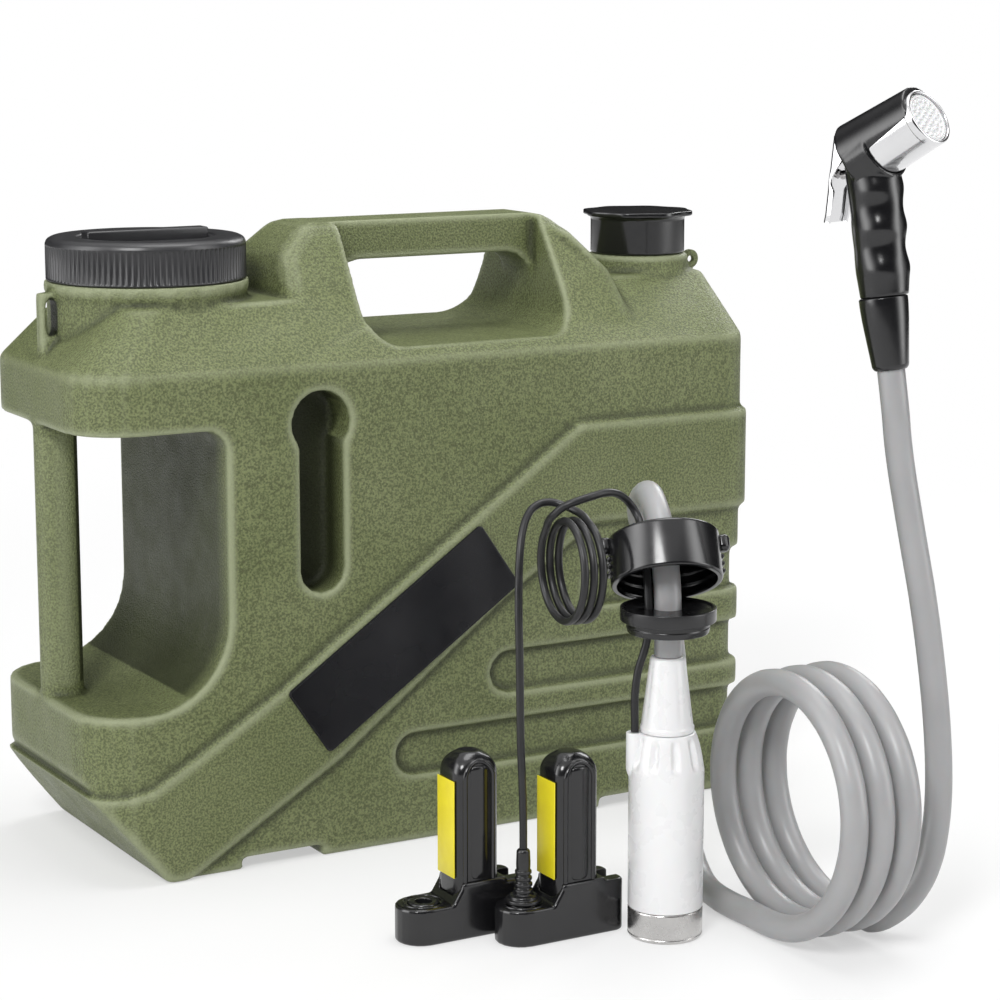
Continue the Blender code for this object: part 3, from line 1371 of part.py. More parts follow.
def hose_coil_points():
    """Three upright turns, side by side along X, starting and ending on the floor."""
    rise = HOSE_RADIUS + 0.2 * MM
    points = []
    for step in range(HOSE_COIL_TURNS * LOOP_POINTS + 1):
        angle = math.tau * step / LOOP_POINTS
        points.append(
            Vector(
                (
                    HOSE_COIL_X + HOSE_COIL_PITCH * step / LOOP_POINTS,
                    HOSE_COIL_Y - HOSE_COIL_RADIUS * math.sin(angle),
                    rise + HOSE_COIL_RADIUS * (1 - math.cos(angle)),
                )
            )
        )
    lead = Vector((0, 2 * HOSE_RADIUS, 0))
    return [points[0] + lead, *points, points[-1] - lead]


def cable_coil_points():
    """Not quite three upright turns, from the top at the far side to the upper left at the near side."""
    axis = Vector((math.cos(CABLE_COIL_TURN), math.sin(CABLE_COIL_TURN), 0))
    toward = Vector((axis.y, -axis.x, 0))
    start, end = math.radians(10), math.radians(315 + 360 * (CABLE_COIL_TURNS - 1))
    count = round(CABLE_LOOP_POINTS * (end - start) / math.tau)
    reach = CABLE_COIL_PITCH * (end - start) / math.tau
    points = []
    for step in range(count + 1):
        share = step / count
        angle = start + (end - start) * share
        around = Vector((0, 0, math.cos(angle))) + toward * math.sin(angle)
        points.append(CABLE_COIL_AT + around * CABLE_COIL_RADIUS + axis * reach * (0.5 - share))
    first = (points[0] - points[1]).normalized() * 2 * CABLE_RADIUS
    last = (points[-1] - points[-2]).normalized() * 2 * CABLE_RADIUS
    return [points[0] + first, *points, points[-1] + last]


HOSE_BEHIND = ((58.5, -197, 209), (75.5, -184, 181), (88, -181, 146), (93, -182, 110), (92, -186, 75))
HOSE_FLOOR = ((87, -200, 40), (79, -221, 18), (70, -246, 8.6), (63, -270, 7.6), (61.4, -290, 7.5))
HOSE_RISE = ((116, -351, 11), (123, -358, 19), (131.5, -363, 34), (137, -364, 52), (140, -363.5, 75))
HOSE_CLIMB = ((140, -362, 104), (138, -359, 138), (132.5, -356, 180), (126, -352, 220), (120, -348.6, 258))
CABLE_RISE = ((-53.8, -260.5, 75), (-55, -260, 110), (-55, -259, 150), (-54, -256, 180), (-50.5, -251, 205))
CABLE_TOP = ((-45, -245.5, 219), (-37, -241.5, 228), (-27, -242.5, 230.5), (-20, -249, 228))
CABLE_OUT_OF_COIL = ((-30.7, -253, 226), (-27.5, -257.5, 230.5), (-20.5, -260.5, 233.5), (-10.5, -261, 235.5))
CABLE_TO_DOME = ((-1.2, -259.5, 236), (7, -256.5, 233.5), (14, -254, 229), (18, -255, 223.5))


def in_metres(points):
    return [Vector(point) * MM for point in points]


def hose():
    """Pump to handset: over the pump, down behind it, three turns, then up."""
    coil = hose_coil_points()
    start = PUMP_AXIS + Vector((0, 0, NOSE_TOP_Z + GAP))
    bend = [feed_point(math.radians(angle)) for angle in (0, 15, 30, 45, 60, 75, 90)]
    into_coil = (coil[1] - coil[0]).normalized()
    feed = [start, *bend, *in_metres(HOSE_BEHIND), *in_metres(HOSE_FLOOR), coil[0] - into_coil * GAP]
    feed = smooth_path(feed, HOSE_STEP, (0, 0, 1), into_coil, HOSE_LEAD)
    out = (coil[-1] - coil[-2]).normalized()
    lean = handset_up()
    nut = NUT_FOOT - lean * GAP
    climb = [coil[-1] + out * GAP, *in_metres(HOSE_RISE), *in_metres(HOSE_CLIMB), nut - lean * 18 * MM, nut]
    climb = smooth_path(climb, HOSE_STEP, out, lean, HOSE_LEAD)
    tube("hose_feed", feed, HOSE_RADIUS, 3, HOSE_GREY)
    tube("hose_coil", coil, HOSE_RADIUS, 1, HOSE_GREY)
    tube("hose_riser", climb, HOSE_RADIUS, 3, HOSE_GREY)
    least_gap("hose_coil", coil[1:-1], HOSE_RADIUS)
    total = path_length(feed) + path_length(coil) + path_length(climb)
    print(f"hose length {total:.3f} m")


def cable():
    """Plug to pump: up to a small hanging coil, over to the collar and down to the boss."""
    coil = cable_coil_points()
    into_coil = (coil[1] - coil[0]).normalized()
    start = socket_place(PACK_2) + Vector((0, 0, PLUG_TOP_Z + GAP))
    lower = [start, *in_metres(CABLE_RISE), *in_metres(CABLE_TOP), coil[0] - into_coil * GAP]
    lower = smooth_path(lower, CABLE_STEP, (0, 0, 1), into_coil, CABLE_LEAD)
    out = (coil[-1] - coil[-2]).normalized()
    bend = [feed_point(math.radians(angle), CABLE_OUT) for angle in (57, 47, 37, 27, 17, 8, 0)]
    end = PUMP_AXIS + FEED_LEFT * BOSS_OUT + Vector((0, 0, PUMP_SHOULDER_TOP_Z + GAP))
    upper = [coil[-1] + out * GAP, *in_metres(CABLE_OUT_OF_COIL), *in_metres(CABLE_TO_DOME), *bend]
    upper += [*reversed(cable_rise()), end]
    upper = smooth_path(upper, CABLE_STEP, out, (0, 0, -1), CABLE_LEAD)
    tube("cable_lower", lower, CABLE_RADIUS, 2, RUBBER)
    tube("cable_coil", coil, CABLE_RADIUS, 1, RUBBER)
    tube("cable_upper", upper, CABLE_RADIUS, 2, RUBBER)
    least_gap("cable_coil", coil[1:-1], CABLE_RADIUS)
    total = path_length(lower) + path_length(coil) + path_length(upper)
    print(f"cable length {total:.3f} m")


def handset_axes():
    """Forward, sideways and up directions of the handset."""
    heading = Vector((math.sin(HANDSET_HEADING), -math.cos(HANDSET_HEADING), 0))
    up = Vector((0, 0, math.cos(HANDSET_LEAN))) - heading * math.sin(HANDSET_LEAN)
    forward = heading * math.cos(HANDSET_LEAN) + Vector((0, 0, math.sin(HANDSET_LEAN)))
    return forward, up.cross(forward), up


def handset_up():
    return handset_axes()[2]


def head_direction():
    """The barrel's axis in the handset's own coordinates."""
    pitch = HEAD_PITCH - HANDSET_LEAN
    return Vector((math.cos(pitch), 0, math.sin(pitch)))


HEAD_CENTRE = Vector((0, 0, HEAD_HEIGHT))
GRIP_SECTIONS = (
    (38.3, 12.4, 11.8, 1.3),
    (46, 13.4, 12.7, 1.2),
    (52, 14.0, 13.1, 1.3),
    (58, 13.6, 13.0, 1.2),
    (63.5, 13.0, 12.7, 1.1),
    (73, 14.5, 13.4, 2.0),
    (82, 13.5, 12.9, 2.0),
    (93, 14.8, 13.3, 2.3),
    (105, 14.2, 13.3, 1.8),
    (116, 13.6, 13.4, 1.5),
    (121, 12.6, 12.4, 1.2),
    (124.5, 9.5, 9.5, 1.0),
)


def handset_grip(frame):
    """The black grip: oval sections with finger waves, and the barrel's housing on top."""
    rows = []
    for height, depth, width, shift in GRIP_SECTIONS:
        row = []
        for step in range(GRIP_SIDES):
            angle = math.tau * step / GRIP_SIDES
            row.append(Vector((shift + depth * math.cos(angle), width * math.sin(angle), height)) * MM)
        rows.append(row)
    grip = lofted("handset_grip", rows, BLACK)
    ahead = head_direction()
    above = Vector((-ahead.z, 0, ahead.x))
    back = HEAD_CENTRE - ahead * HOOD_BACK
    hood = rod("handset_grip_hood", back, HEAD_CENTRE + ahead * HOOD_FRONT, HEAD_RADIUS + HOOD_WALL, 24)
    mould(grip, hood, "UNION")
    roof = rod(
        "handset_grip_roof",
        back + above * ROOF_RISE_BACK,
        HEAD_CENTRE + ahead * (HEAD_LENGTH - ROOF_SHORT) + above * ROOF_RISE_FRONT,
        HEAD_RADIUS + HOOD_WALL,
        24,
        end_radius=HEAD_RADIUS,
    )
    mould(grip, roof, "UNION")
    low, high = (0, 0, NUT_SPIGOT_LOW), (0, 0, NUT_HEIGHT + 7 * MM)
    mould(grip, rod("handset_grip_spigot", low, high, NUT_LOW_RADIUS - NUT_WALL, 20), "UNION")
    lug_x, lug_z = LEVER_PIVOT
    room = LEVER_WIDTH / 2 + MM
    low = (-3 * ROOT, -room, lug_z - 12 * MM)
    high = (lug_x + LEVER_ROOM_AHEAD, room, lug_z + 6 * MM)
    mould(grip, block("handset_grip_recess", low, high))
    near, far = (lug_x, -LUG_BOSS_HALF, lug_z), (lug_x, LUG_BOSS_HALF, lug_z)
    mould(grip, rod("handset_grip_lug", near, far, LUG_BOSS_RADIUS, 16), "UNION")
    low = (lug_x, -LUG_BOSS_HALF, lug_z - LUG_BOSS_RADIUS + 0.4 * MM)
    high = (lug_x + LEVER_ROOM_AHEAD + 0.8 * MM, LUG_BOSS_HALF, lug_z + LUG_BOSS_RADIUS - 0.4 * MM)
    mould(grip, block("handset_grip_lug_root", low, high), "UNION")
    near, far = (lug_x, -ROOT, lug_z), (lug_x, ROOT, lug_z)
    mould(grip, rod("handset_grip_pin_hole", near, far, LEVER_PIN_RADIUS + GAP, 16))
    seat = HEAD_CENTRE + ahead * BARREL_BACK
    mould(grip, rod("handset_grip_seat", seat, seat + ahead * 3 * ROOT, HEAD_RADIUS + GAP, 32))
    mould(grip, rod("handset_grip_water", (0, 0, -5 * MM), HEAD_CENTRE, WATER_BORE, 16))
    link = (HEAD_CENTRE - ahead * BARREL_BACK, HEAD_CENTRE + ahead * ROOT / 2)
    mould(grip, rod("handset_grip_link", *link, WATER_BORE, 16))
    plunger_z = lug_z - PLUNGER_DROP
    way_through = (-3 * ROOT, 0, plunger_z), (0, 0, plunger_z)
    mould(grip, rod("handset_grip_plunger_way", *way_through, PLUNGER_RADIUS + GAP, 16))
    return seat_in(frame, smooth(grip))


def lever_face_x(drop):
    """How far back the lever's plate stands at a height below its pivot."""
    return LEVER_PIVOT[0] - drop * math.tan(LEVER_OUT)


def trigger_lever():
    """The chrome lever: a bent channel on a cross pin behind the grip."""
    lug_x, lug_z = LEVER_PIVOT
    tilt = Matrix.Rotation(LEVER_OUT, 4, "Y")
    half = LEVER_WIDTH / 2
    face = -LEVER_SETBACK
    low, high = (face - LEVER_PLATE, -half, -LEVER_LENGTH), (face, half, 4 * MM)
    lever = block("trigger_lever", low, high, CHROME, tilt)
    root = face - LEVER_PLATE / 2
    outline = ((root, 3.5 * MM), (3 * MM, 3.5 * MM), (3 * MM, -3 * MM), (root, -26 * MM))
    for side in (-1, 1):
        middle = side * (half - LEVER_PLATE / 2)
        place = tilt @ Matrix.Translation((0, middle, 0)) @ FACING_FRONT
        cheek = slab(f"trigger_lever_cheek_{side + 1}", outline, LEVER_PLATE / 2, place)
        combine(lever, cheek, "UNION")
    combine(lever, rod("trigger_lever_pin_hole", (0, -ROOT, 0), (0, ROOT, 0), LEVER_PIN_RADIUS + GAP, 16))
    return lever


def handset_small_parts(frame):
    """Barrel, spray face, hose nut, cross pin, plunger and valve cartridge."""
    ahead = head_direction()
    turn = Vector((0, 0, 1)).rotation_difference(ahead).to_matrix().to_4x4()
    inner = HEAD_RADIUS - HEAD_WALL
    back = BARREL_BACK + GAP
    profile = (
        (HEAD_RADIUS - 0.8 * MM, HEAD_LENGTH),
        (HEAD_RADIUS, HEAD_LENGTH - 0.8 * MM),
        (HEAD_RADIUS, back),
        (WATER_BORE, back),
        (WATER_BORE, back + 3 * MM),
        (inner, back + 3 * MM),
        (inner, HEAD_LENGTH),
    )
    barrel = smooth(turned("handset_barrel", profile, 32, HEAD_CENTRE, CHROME, turn))
    high = HEAD_LENGTH - 0.8 * MM
    snug = inner - GAP
    disc = ((0, high), (snug, high), (snug, high - 2 * MM), (0, high - 2 * MM))
    face = turned("spray_face", disc, 40, HEAD_CENTRE, WHITE, turn)
    bore = NUT_LOW_RADIUS - NUT_WALL + GAP
    profile = (
        (NUT_TOP_RADIUS - 0.6 * MM, NUT_HEIGHT),
        (NUT_TOP_RADIUS, NUT_HEIGHT - 0.6 * MM),
        (NUT_TOP_RADIUS, NUT_HEIGHT - 8 * MM),
        (NUT_LOW_RADIUS + 0.6 * MM, 1.6 * MM),
        (NUT_LOW_RADIUS - 0.8 * MM, 0),
        (WATER_BORE, 0),
        (WATER_BORE, 8 * MM),
        (bore, 8 * MM),
        (bore, NUT_HEIGHT),
    )
    nut = smooth(turned("hose_nut", profile, 24, (0, 0, 0), BLACK))
    lug_x, lug_z = LEVER_PIVOT
    half = LEVER_WIDTH / 2 + 0.6 * MM
    pin = smooth(rod("lever_pin", (lug_x, -half, lug_z), (lug_x, half, lug_z), LEVER_PIN_RADIUS, 16, STEEL))
    plunger_z = lug_z - PLUNGER_DROP
    touch = lever_face_x(PLUNGER_DROP) - LEVER_SETBACK / math.cos(LEVER_OUT)
    touch += PLUNGER_RADIUS * math.tan(LEVER_OUT) + GAP
    near, far = (touch, 0, plunger_z), (-WATER_BORE - MM, 0, plunger_z)
    plunger = smooth(rod("valve_plunger", near, far, PLUNGER_RADIUS, 16, STEEL))
    low, high = (0, 0, 60 * MM), (0, 0, plunger_z - PLUNGER_RADIUS - 2 * MM)
    cartridge = smooth(rod("valve_cartridge", low, high, WATER_BORE - GAP, 20, WHITE))
    for item in (barrel, face, nut, cartridge, pin, plunger):
        seat_in(frame, item)


def handset():
    forward, side, up = handset_axes()
    turn = Matrix((forward, side, up)).transposed().to_4x4()
    frame = axis_empty("handset_frame", NUT_FOOT, turn)
    handset_grip(frame)
    handset_small_parts(frame)
    lug_x, lug_z = LEVER_PIVOT
    lever_axis = axis_empty("lever_axis", NUT_FOOT + forward * lug_x + up * lug_z, turn)
    seat_in(lever_axis, trigger_lever())


def build():
    tank_shell()
    label_plate()
    lid_axis = axis_empty("lid_axis", (can_x(MOUTH_X), 0, MOUTH_SEAT_Z))
    hang(lid_axis, lid())
    inner, outer = NECK_RADIUS - NECK_WALL + GAP, NECK_RADIUS - GAP
    low = NECK_TOP_Z + GAP
    mouth = (can_x(MOUTH_X), 0, 0)
    hang(lid_axis, ring("lid_gasket", mouth, inner, outer, low, low + GASKET_THICKNESS, RUBBER))
    spout = (can_x(SPOUT_X), 0, 0)
    cap_axis = axis_empty("spout_cap_axis", (can_x(SPOUT_X), 0, SPOUT_SEAT_Z))
    hang(cap_axis, spout_cap())
    low = SPOUT_TOP_Z + GAP
    high = SPOUT_SEAT_Z + GAP + CAP_HEIGHT - CAP_TOP - GAP
    inner, outer = SPOUT_RADIUS - NECK_WALL + GAP, SPOUT_RADIUS - GAP
    hang(cap_axis, ring("spout_gasket", spout, inner, outer, low, high, RUBBER))
    pump_housing()
    pump_nose()
    pump_base_ring()
    pump_screen()
    shaft = pump_inside()[0]
    impeller_axis = axis_empty("impeller_axis", PUMP_AXIS)
    hang(impeller_axis, pump_impeller(), shaft)
    stopper()
    frame = collar_frame()
    collar(frame)
    collar_grommet(frame)
    battery_pack(1, PACK_1)
    battery_pack(2, PACK_2)
    cable_plug()
    hose()
    cable()
    handset()


build()
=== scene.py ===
from math import cos, degrees, exp, pi, radians, sin, sqrt, tau
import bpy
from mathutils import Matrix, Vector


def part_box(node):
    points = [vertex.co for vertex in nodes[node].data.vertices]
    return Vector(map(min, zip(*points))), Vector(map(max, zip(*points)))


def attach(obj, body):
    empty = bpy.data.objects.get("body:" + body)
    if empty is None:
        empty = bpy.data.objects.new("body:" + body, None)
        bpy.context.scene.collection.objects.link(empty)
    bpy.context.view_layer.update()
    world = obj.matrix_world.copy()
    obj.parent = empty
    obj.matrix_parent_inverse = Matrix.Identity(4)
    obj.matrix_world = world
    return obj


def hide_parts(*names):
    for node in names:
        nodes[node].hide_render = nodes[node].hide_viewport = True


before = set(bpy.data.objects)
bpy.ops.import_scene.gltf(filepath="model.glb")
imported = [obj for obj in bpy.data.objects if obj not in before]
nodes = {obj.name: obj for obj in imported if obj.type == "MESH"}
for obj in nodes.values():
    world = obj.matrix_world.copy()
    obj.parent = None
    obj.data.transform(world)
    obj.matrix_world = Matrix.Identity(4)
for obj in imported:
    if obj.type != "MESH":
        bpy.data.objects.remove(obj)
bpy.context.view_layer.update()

from types import SimpleNamespace

import bmesh
import bpy
import numpy as np
from mathutils import Matrix, Vector
from mathutils.geometry import interpolate_bezier

up = Vector((0, 0, 1))
mm = 0.001  # every size below is written in millimetres and multiplied by this
print("frame loaded:", len(nodes), "nodes")


def named(settings):
    return SimpleNamespace(**settings)


def newObject(name, data):
    made = bpy.data.objects.new(name, data)
    bpy.context.scene.collection.objects.link(made)
    return made


def circle(radius, steps):
    # evenly spaced points (x, y) round a circle
    angles = [tau * step / steps for step in range(steps)]
    return [(radius * cos(angle), radius * sin(angle)) for angle in angles]


def easeBetween(low, high, value):
    share = min(1.0, max(0.0, (value - low) / (high - low)))
    return share * share * (3 - 2 * share)


shotSettings = {
    "azimuth": -29.9156, "pitch": 10.494, "focalPixels": 2761.2, "pictureWidth": 1000,
    "sensor": 36.0, "place": (-0.76142, -1.46608, 0.49590),
}


def makeCamera():
    s = named(shotSettings)
    swing, dip = radians(-s.azimuth), radians(s.pitch)
    forward = Vector((sin(swing) * cos(dip), cos(swing) * cos(dip), -sin(dip)))
    right = forward.cross(up).normalized()
    data = bpy.data.cameras.new("camera")
    data.sensor_width = s.sensor
    data.lens = s.focalPixels * s.sensor / s.pictureWidth
    camera = newObject("camera", data)
    axes = Matrix((right, right.cross(forward), -forward)).transposed().to_4x4()
    camera.matrix_world = Matrix.Translation(s.place) @ axes
    bpy.context.scene.camera = camera


makeCamera()

studioSettings = {
    "floorSize": 60.0, "floorColor": (0.86, 0.86, 0.86),
    "nearGlow": 0.50,
    "farGlow": 1.0,  # and from this far out, in metres
    "glowFrom": 0.35, "glowTo": 1.3, "worldColor": (1.0, 1.0, 1.0), "worldLight": 0.50,
    # name, place, where it points, size, watts
    "lamps": (
        ("keyLamp", (-1.5, -1.5, 1.9), (0, 0, 0.15), 0.9, 38),
        ("topLamp", (0.3, -0.1, 2.3), (0, 0, 0.2), 1.4, 20),
        ("rimLamp", (1.7, 0.9, 1.3), (0, 0, 0.2), 1.0, 12),
    ),
    # a screen round the set that only reflections see: dark, with soft bright windows
    "screenRadius": 3.2, "screenLow": -0.6, "screenHigh": 3.4, "screenDark": 0.03,
    "screenSteps": 120, "screenRows": 12,
    "topFrom": 1.9,  # the screen grows lighter above this height
    "topGlow": 0.5,
    "windows": ((172, 18, 5.0), (316, 15, 4.5)),  # middle and half width in degrees, brightness
}


def newNode(tree, kind, inputs=None, **settings):
    # one shader node; an input gets a value, or a link from another node's output
    node = tree.nodes.new("ShaderNode" + kind)
    for key, value in settings.items():
        setattr(node, key, value)
    for key, value in (inputs or {}).items():
        if isinstance(value, bpy.types.NodeSocket):
            tree.links.new(value, node.inputs[key])
        else:
            node.inputs[key].default_value = value
    return node


def mapRange(tree, value, fromLow, fromHigh, toLow=0.0, toHigh=1.0, kind="LINEAR"):
    inputs = {"From Min": fromLow, "From Max": fromHigh, "To Min": toLow, "To Max": toHigh}
    inputs["Value"] = value
    return newNode(tree, "MapRange", inputs, interpolation_type=kind).outputs["Result"]


def emptyFinish(name):
    finish = bpy.data.materials.new(name)
    finish.use_nodes = True
    finish.node_tree.nodes.clear()
    return finish, finish.node_tree


def whiteRays(tree):
    # 1 for camera, glossy and transmission rays
    path = newNode(tree, "LightPath")
    found = path.outputs["Is Camera Ray"]
    for kind in ("Is Glossy Ray", "Is Transmission Ray"):
        found = newNode(tree, "Math", {0: found, 1: path.outputs[kind]}, operation="MAXIMUM").outputs[0]
    return found


def floorFinish():
    s = named(studioSettings)
    finish, tree = emptyFinish("paleFloor")
    where = newNode(tree, "TexCoord").outputs["Object"]
    reach = newNode(tree, "VectorMath", {0: where}, operation="LENGTH").outputs["Value"]
    rise = mapRange(tree, reach, s.glowFrom, s.glowTo, s.nearGlow, s.farGlow, "SMOOTHSTEP")
    share = newNode(tree, "Math", {0: whiteRays(tree), 1: rise}, operation="MULTIPLY").outputs[0]
    matt = newNode(tree, "BsdfDiffuse", {"Color": (*s.floorColor, 1)}).outputs[0]
    glow = newNode(tree, "Emission", {"Color": (1, 1, 1, 1)}).outputs[0]
    mix = newNode(tree, "MixShader", {"Fac": share, 1: matt, 2: glow})
    newNode(tree, "OutputMaterial", {"Surface": mix.outputs[0]})
    return finish


def makeScreen():
    # a round screen as a studio hangs one, to shape the reflections in gloss and metal
    s = named(studioSettings)
    finish, tree = emptyFinish("darkScreen")
    level = newNode(tree, "Attribute", attribute_name="level").outputs["Color"]
    shine = newNode(tree, "Emission", {"Color": level})
    newNode(tree, "OutputMaterial", {"Surface": shine.outputs[0]})
    points, faces, levels = [], [], []
    for row in range(s.screenRows + 1):
        height = s.screenLow + (s.screenHigh - s.screenLow) * row / s.screenRows
        top = max(0.0, (height - s.topFrom) / (s.screenHigh - s.topFrom))
        for step, (x, y) in enumerate(circle(s.screenRadius, s.screenSteps)):
            points.append((x, y, height))
            bright = s.screenDark
            for middle, half, strength in s.windows:
                away = abs((360 * step / s.screenSteps - middle + 180) % 360 - 180) / half
                bright += strength * exp(-away * away)
            levels.append(bright + s.topGlow * top)
            if row:
                first = row * s.screenSteps
                here, after = first + step, first + (step + 1) % s.screenSteps
                faces.append((here - s.screenSteps, after - s.screenSteps, after, here))
    mesh = bpy.data.meshes.new("screen")
    mesh.from_pydata(points, [], faces)
    mesh.attributes.new("level", "FLOAT", "POINT").data.foreach_set("value", levels)
    mesh.materials.append(finish)
    screen = newObject("screen", mesh)
    screen.visible_camera = False
    screen.visible_diffuse = False
    screen.visible_shadow = False
    screen.visible_transmission = False


def makeStudio():
    s = named(studioSettings)
    scene = bpy.context.scene
    scene.view_settings.view_transform = "Standard"
    scene.world = bpy.data.worlds.new("studio")
    scene.world.use_nodes = True
    tree = scene.world.node_tree
    tree.nodes.clear()
    lit = newNode(tree, "Background", {"Color": (*s.worldColor, 1), "Strength": s.worldLight})
    seen = newNode(tree, "Background", {"Color": (1, 1, 1, 1)})
    mix = newNode(tree, "MixShader", {"Fac": whiteRays(tree), 1: lit.outputs[0], 2: seen.outputs[0]})
    newNode(tree, "OutputWorld", {"Surface": mix.outputs[0]})

    mesh = bpy.data.meshes.new("floor")
    half = s.floorSize / 2
    corners = [(-half, -half, 0), (half, -half, 0), (half, half, 0), (-half, half, 0)]
    mesh.from_pydata(corners, [], [(0, 1, 2, 3)])
    newObject("floor", mesh)
    mesh.materials.append(floorFinish())

    for name, place, aim, size, watts in s.lamps:
        data = bpy.data.lights.new(name, "AREA")
        data.shape = "DISK"
        data.size = size
        data.energy = watts
        lamp = newObject(name, data)
        lamp.location = place
        lamp.rotation_euler = (Vector(aim) - Vector(place)).to_track_quat("-Z", "Y").to_euler()


makeStudio()
makeScreen()
print("camera and studio made")


# look key, shader input, and its value where a look doesn't say
shaderInputs = (
    ("metallic", "Metallic", 0.0),
    ("specular", "Specular IOR Level", 0.5),
    ("coat", "Coat Weight", 0.0),
    ("coatRoughness", "Coat Roughness", 0.1),
    ("subsurface", "Subsurface Weight", 0.0),
    ("subsurfaceScale", "Subsurface Scale", 2 * mm),
)
# how much of a noise's spread is used by the soft patches, the speckle and the gloss
spreads = {"patch": (0.35, 0.65), "speckle": (0.38, 0.62), "gloss": (0.3, 0.7)}
details = {"patch": 3.0, "speckle": 2.5, "gloss": 4.0, "grain": 2.0}


def newFinish(name, look):
    # moulded or metal: two close colours in soft patches, edges lightened as wear and painted
    # highlight, painted shade in hollows, uneven gloss, layers of grain
    finish = bpy.data.materials.new(name)
    finish.use_nodes = True
    tree = finish.node_tree
    shader = tree.nodes["Principled BSDF"]
    for key, socket, usual in shaderInputs:
        shader.inputs[socket].default_value = look.get(key, usual)
    where = newNode(tree, "TexCoord").outputs["Object"]

    def noise(kind, scale, stretch=None):
        spot = where
        if stretch:
            spot = newNode(tree, "Mapping", {"Vector": where, "Scale": stretch}).outputs["Vector"]
        inputs = {"Vector": spot, "Scale": scale, "Detail": details[kind]}
        return newNode(tree, "TexNoise", inputs).outputs["Fac"]

    def blend(first, second, factor):
        inputs = {"Factor": factor, "A": first, "B": second}
        return newNode(tree, "Mix", inputs, data_type="RGBA").outputs["Result"]

    patch = mapRange(tree, noise("patch", look["patchScale"]), *spreads["patch"])
    base = blend((*look["color"], 1), (*look["otherColor"], 1), patch)
    if "speckle" in look:
        # the grain's own pits and peaks, a little darker and lighter
        scale, *limits = look["speckle"]
        speck = mapRange(tree, noise("speckle", scale), *spreads["speckle"], *limits)
        base = newNode(tree, "VectorMath", {0: base, "Scale": speck}, operation="SCALE").outputs[0]
    # edges lightened as wear and painted highlight; corners and hollows darkened with painted shade
    for attribute in ("wearAndHighlight", "hollow"):
        if attribute + "Color" in look:
            share = newNode(tree, "Attribute", attribute_name=attribute).outputs["Fac"]
            base = blend(base, (*look[attribute + "Color"], 1), share)
    tree.links.new(base, shader.inputs["Base Color"])
    gloss = mapRange(tree, noise("gloss", look["glossScale"]), *spreads["gloss"], *look["roughness"])
    tree.links.new(gloss, shader.inputs["Roughness"])

    below = {}
    for kind, scale, strength, depth, *stretch in look["grains"]:
        if kind == "cells":
            cells = newNode(tree, "TexVoronoi", {"Vector": where, "Scale": scale}, feature="SMOOTH_F1")
            height = cells.outputs["Distance"]
        else:
            height = noise("grain", scale, *stretch)
        inputs = {"Strength": strength, "Distance": depth * mm, "Height": height, **below}
        below = {"Normal": newNode(tree, "Bump", inputs).outputs["Normal"]}
    tree.links.new(below["Normal"], shader.inputs["Normal"])
    return finish


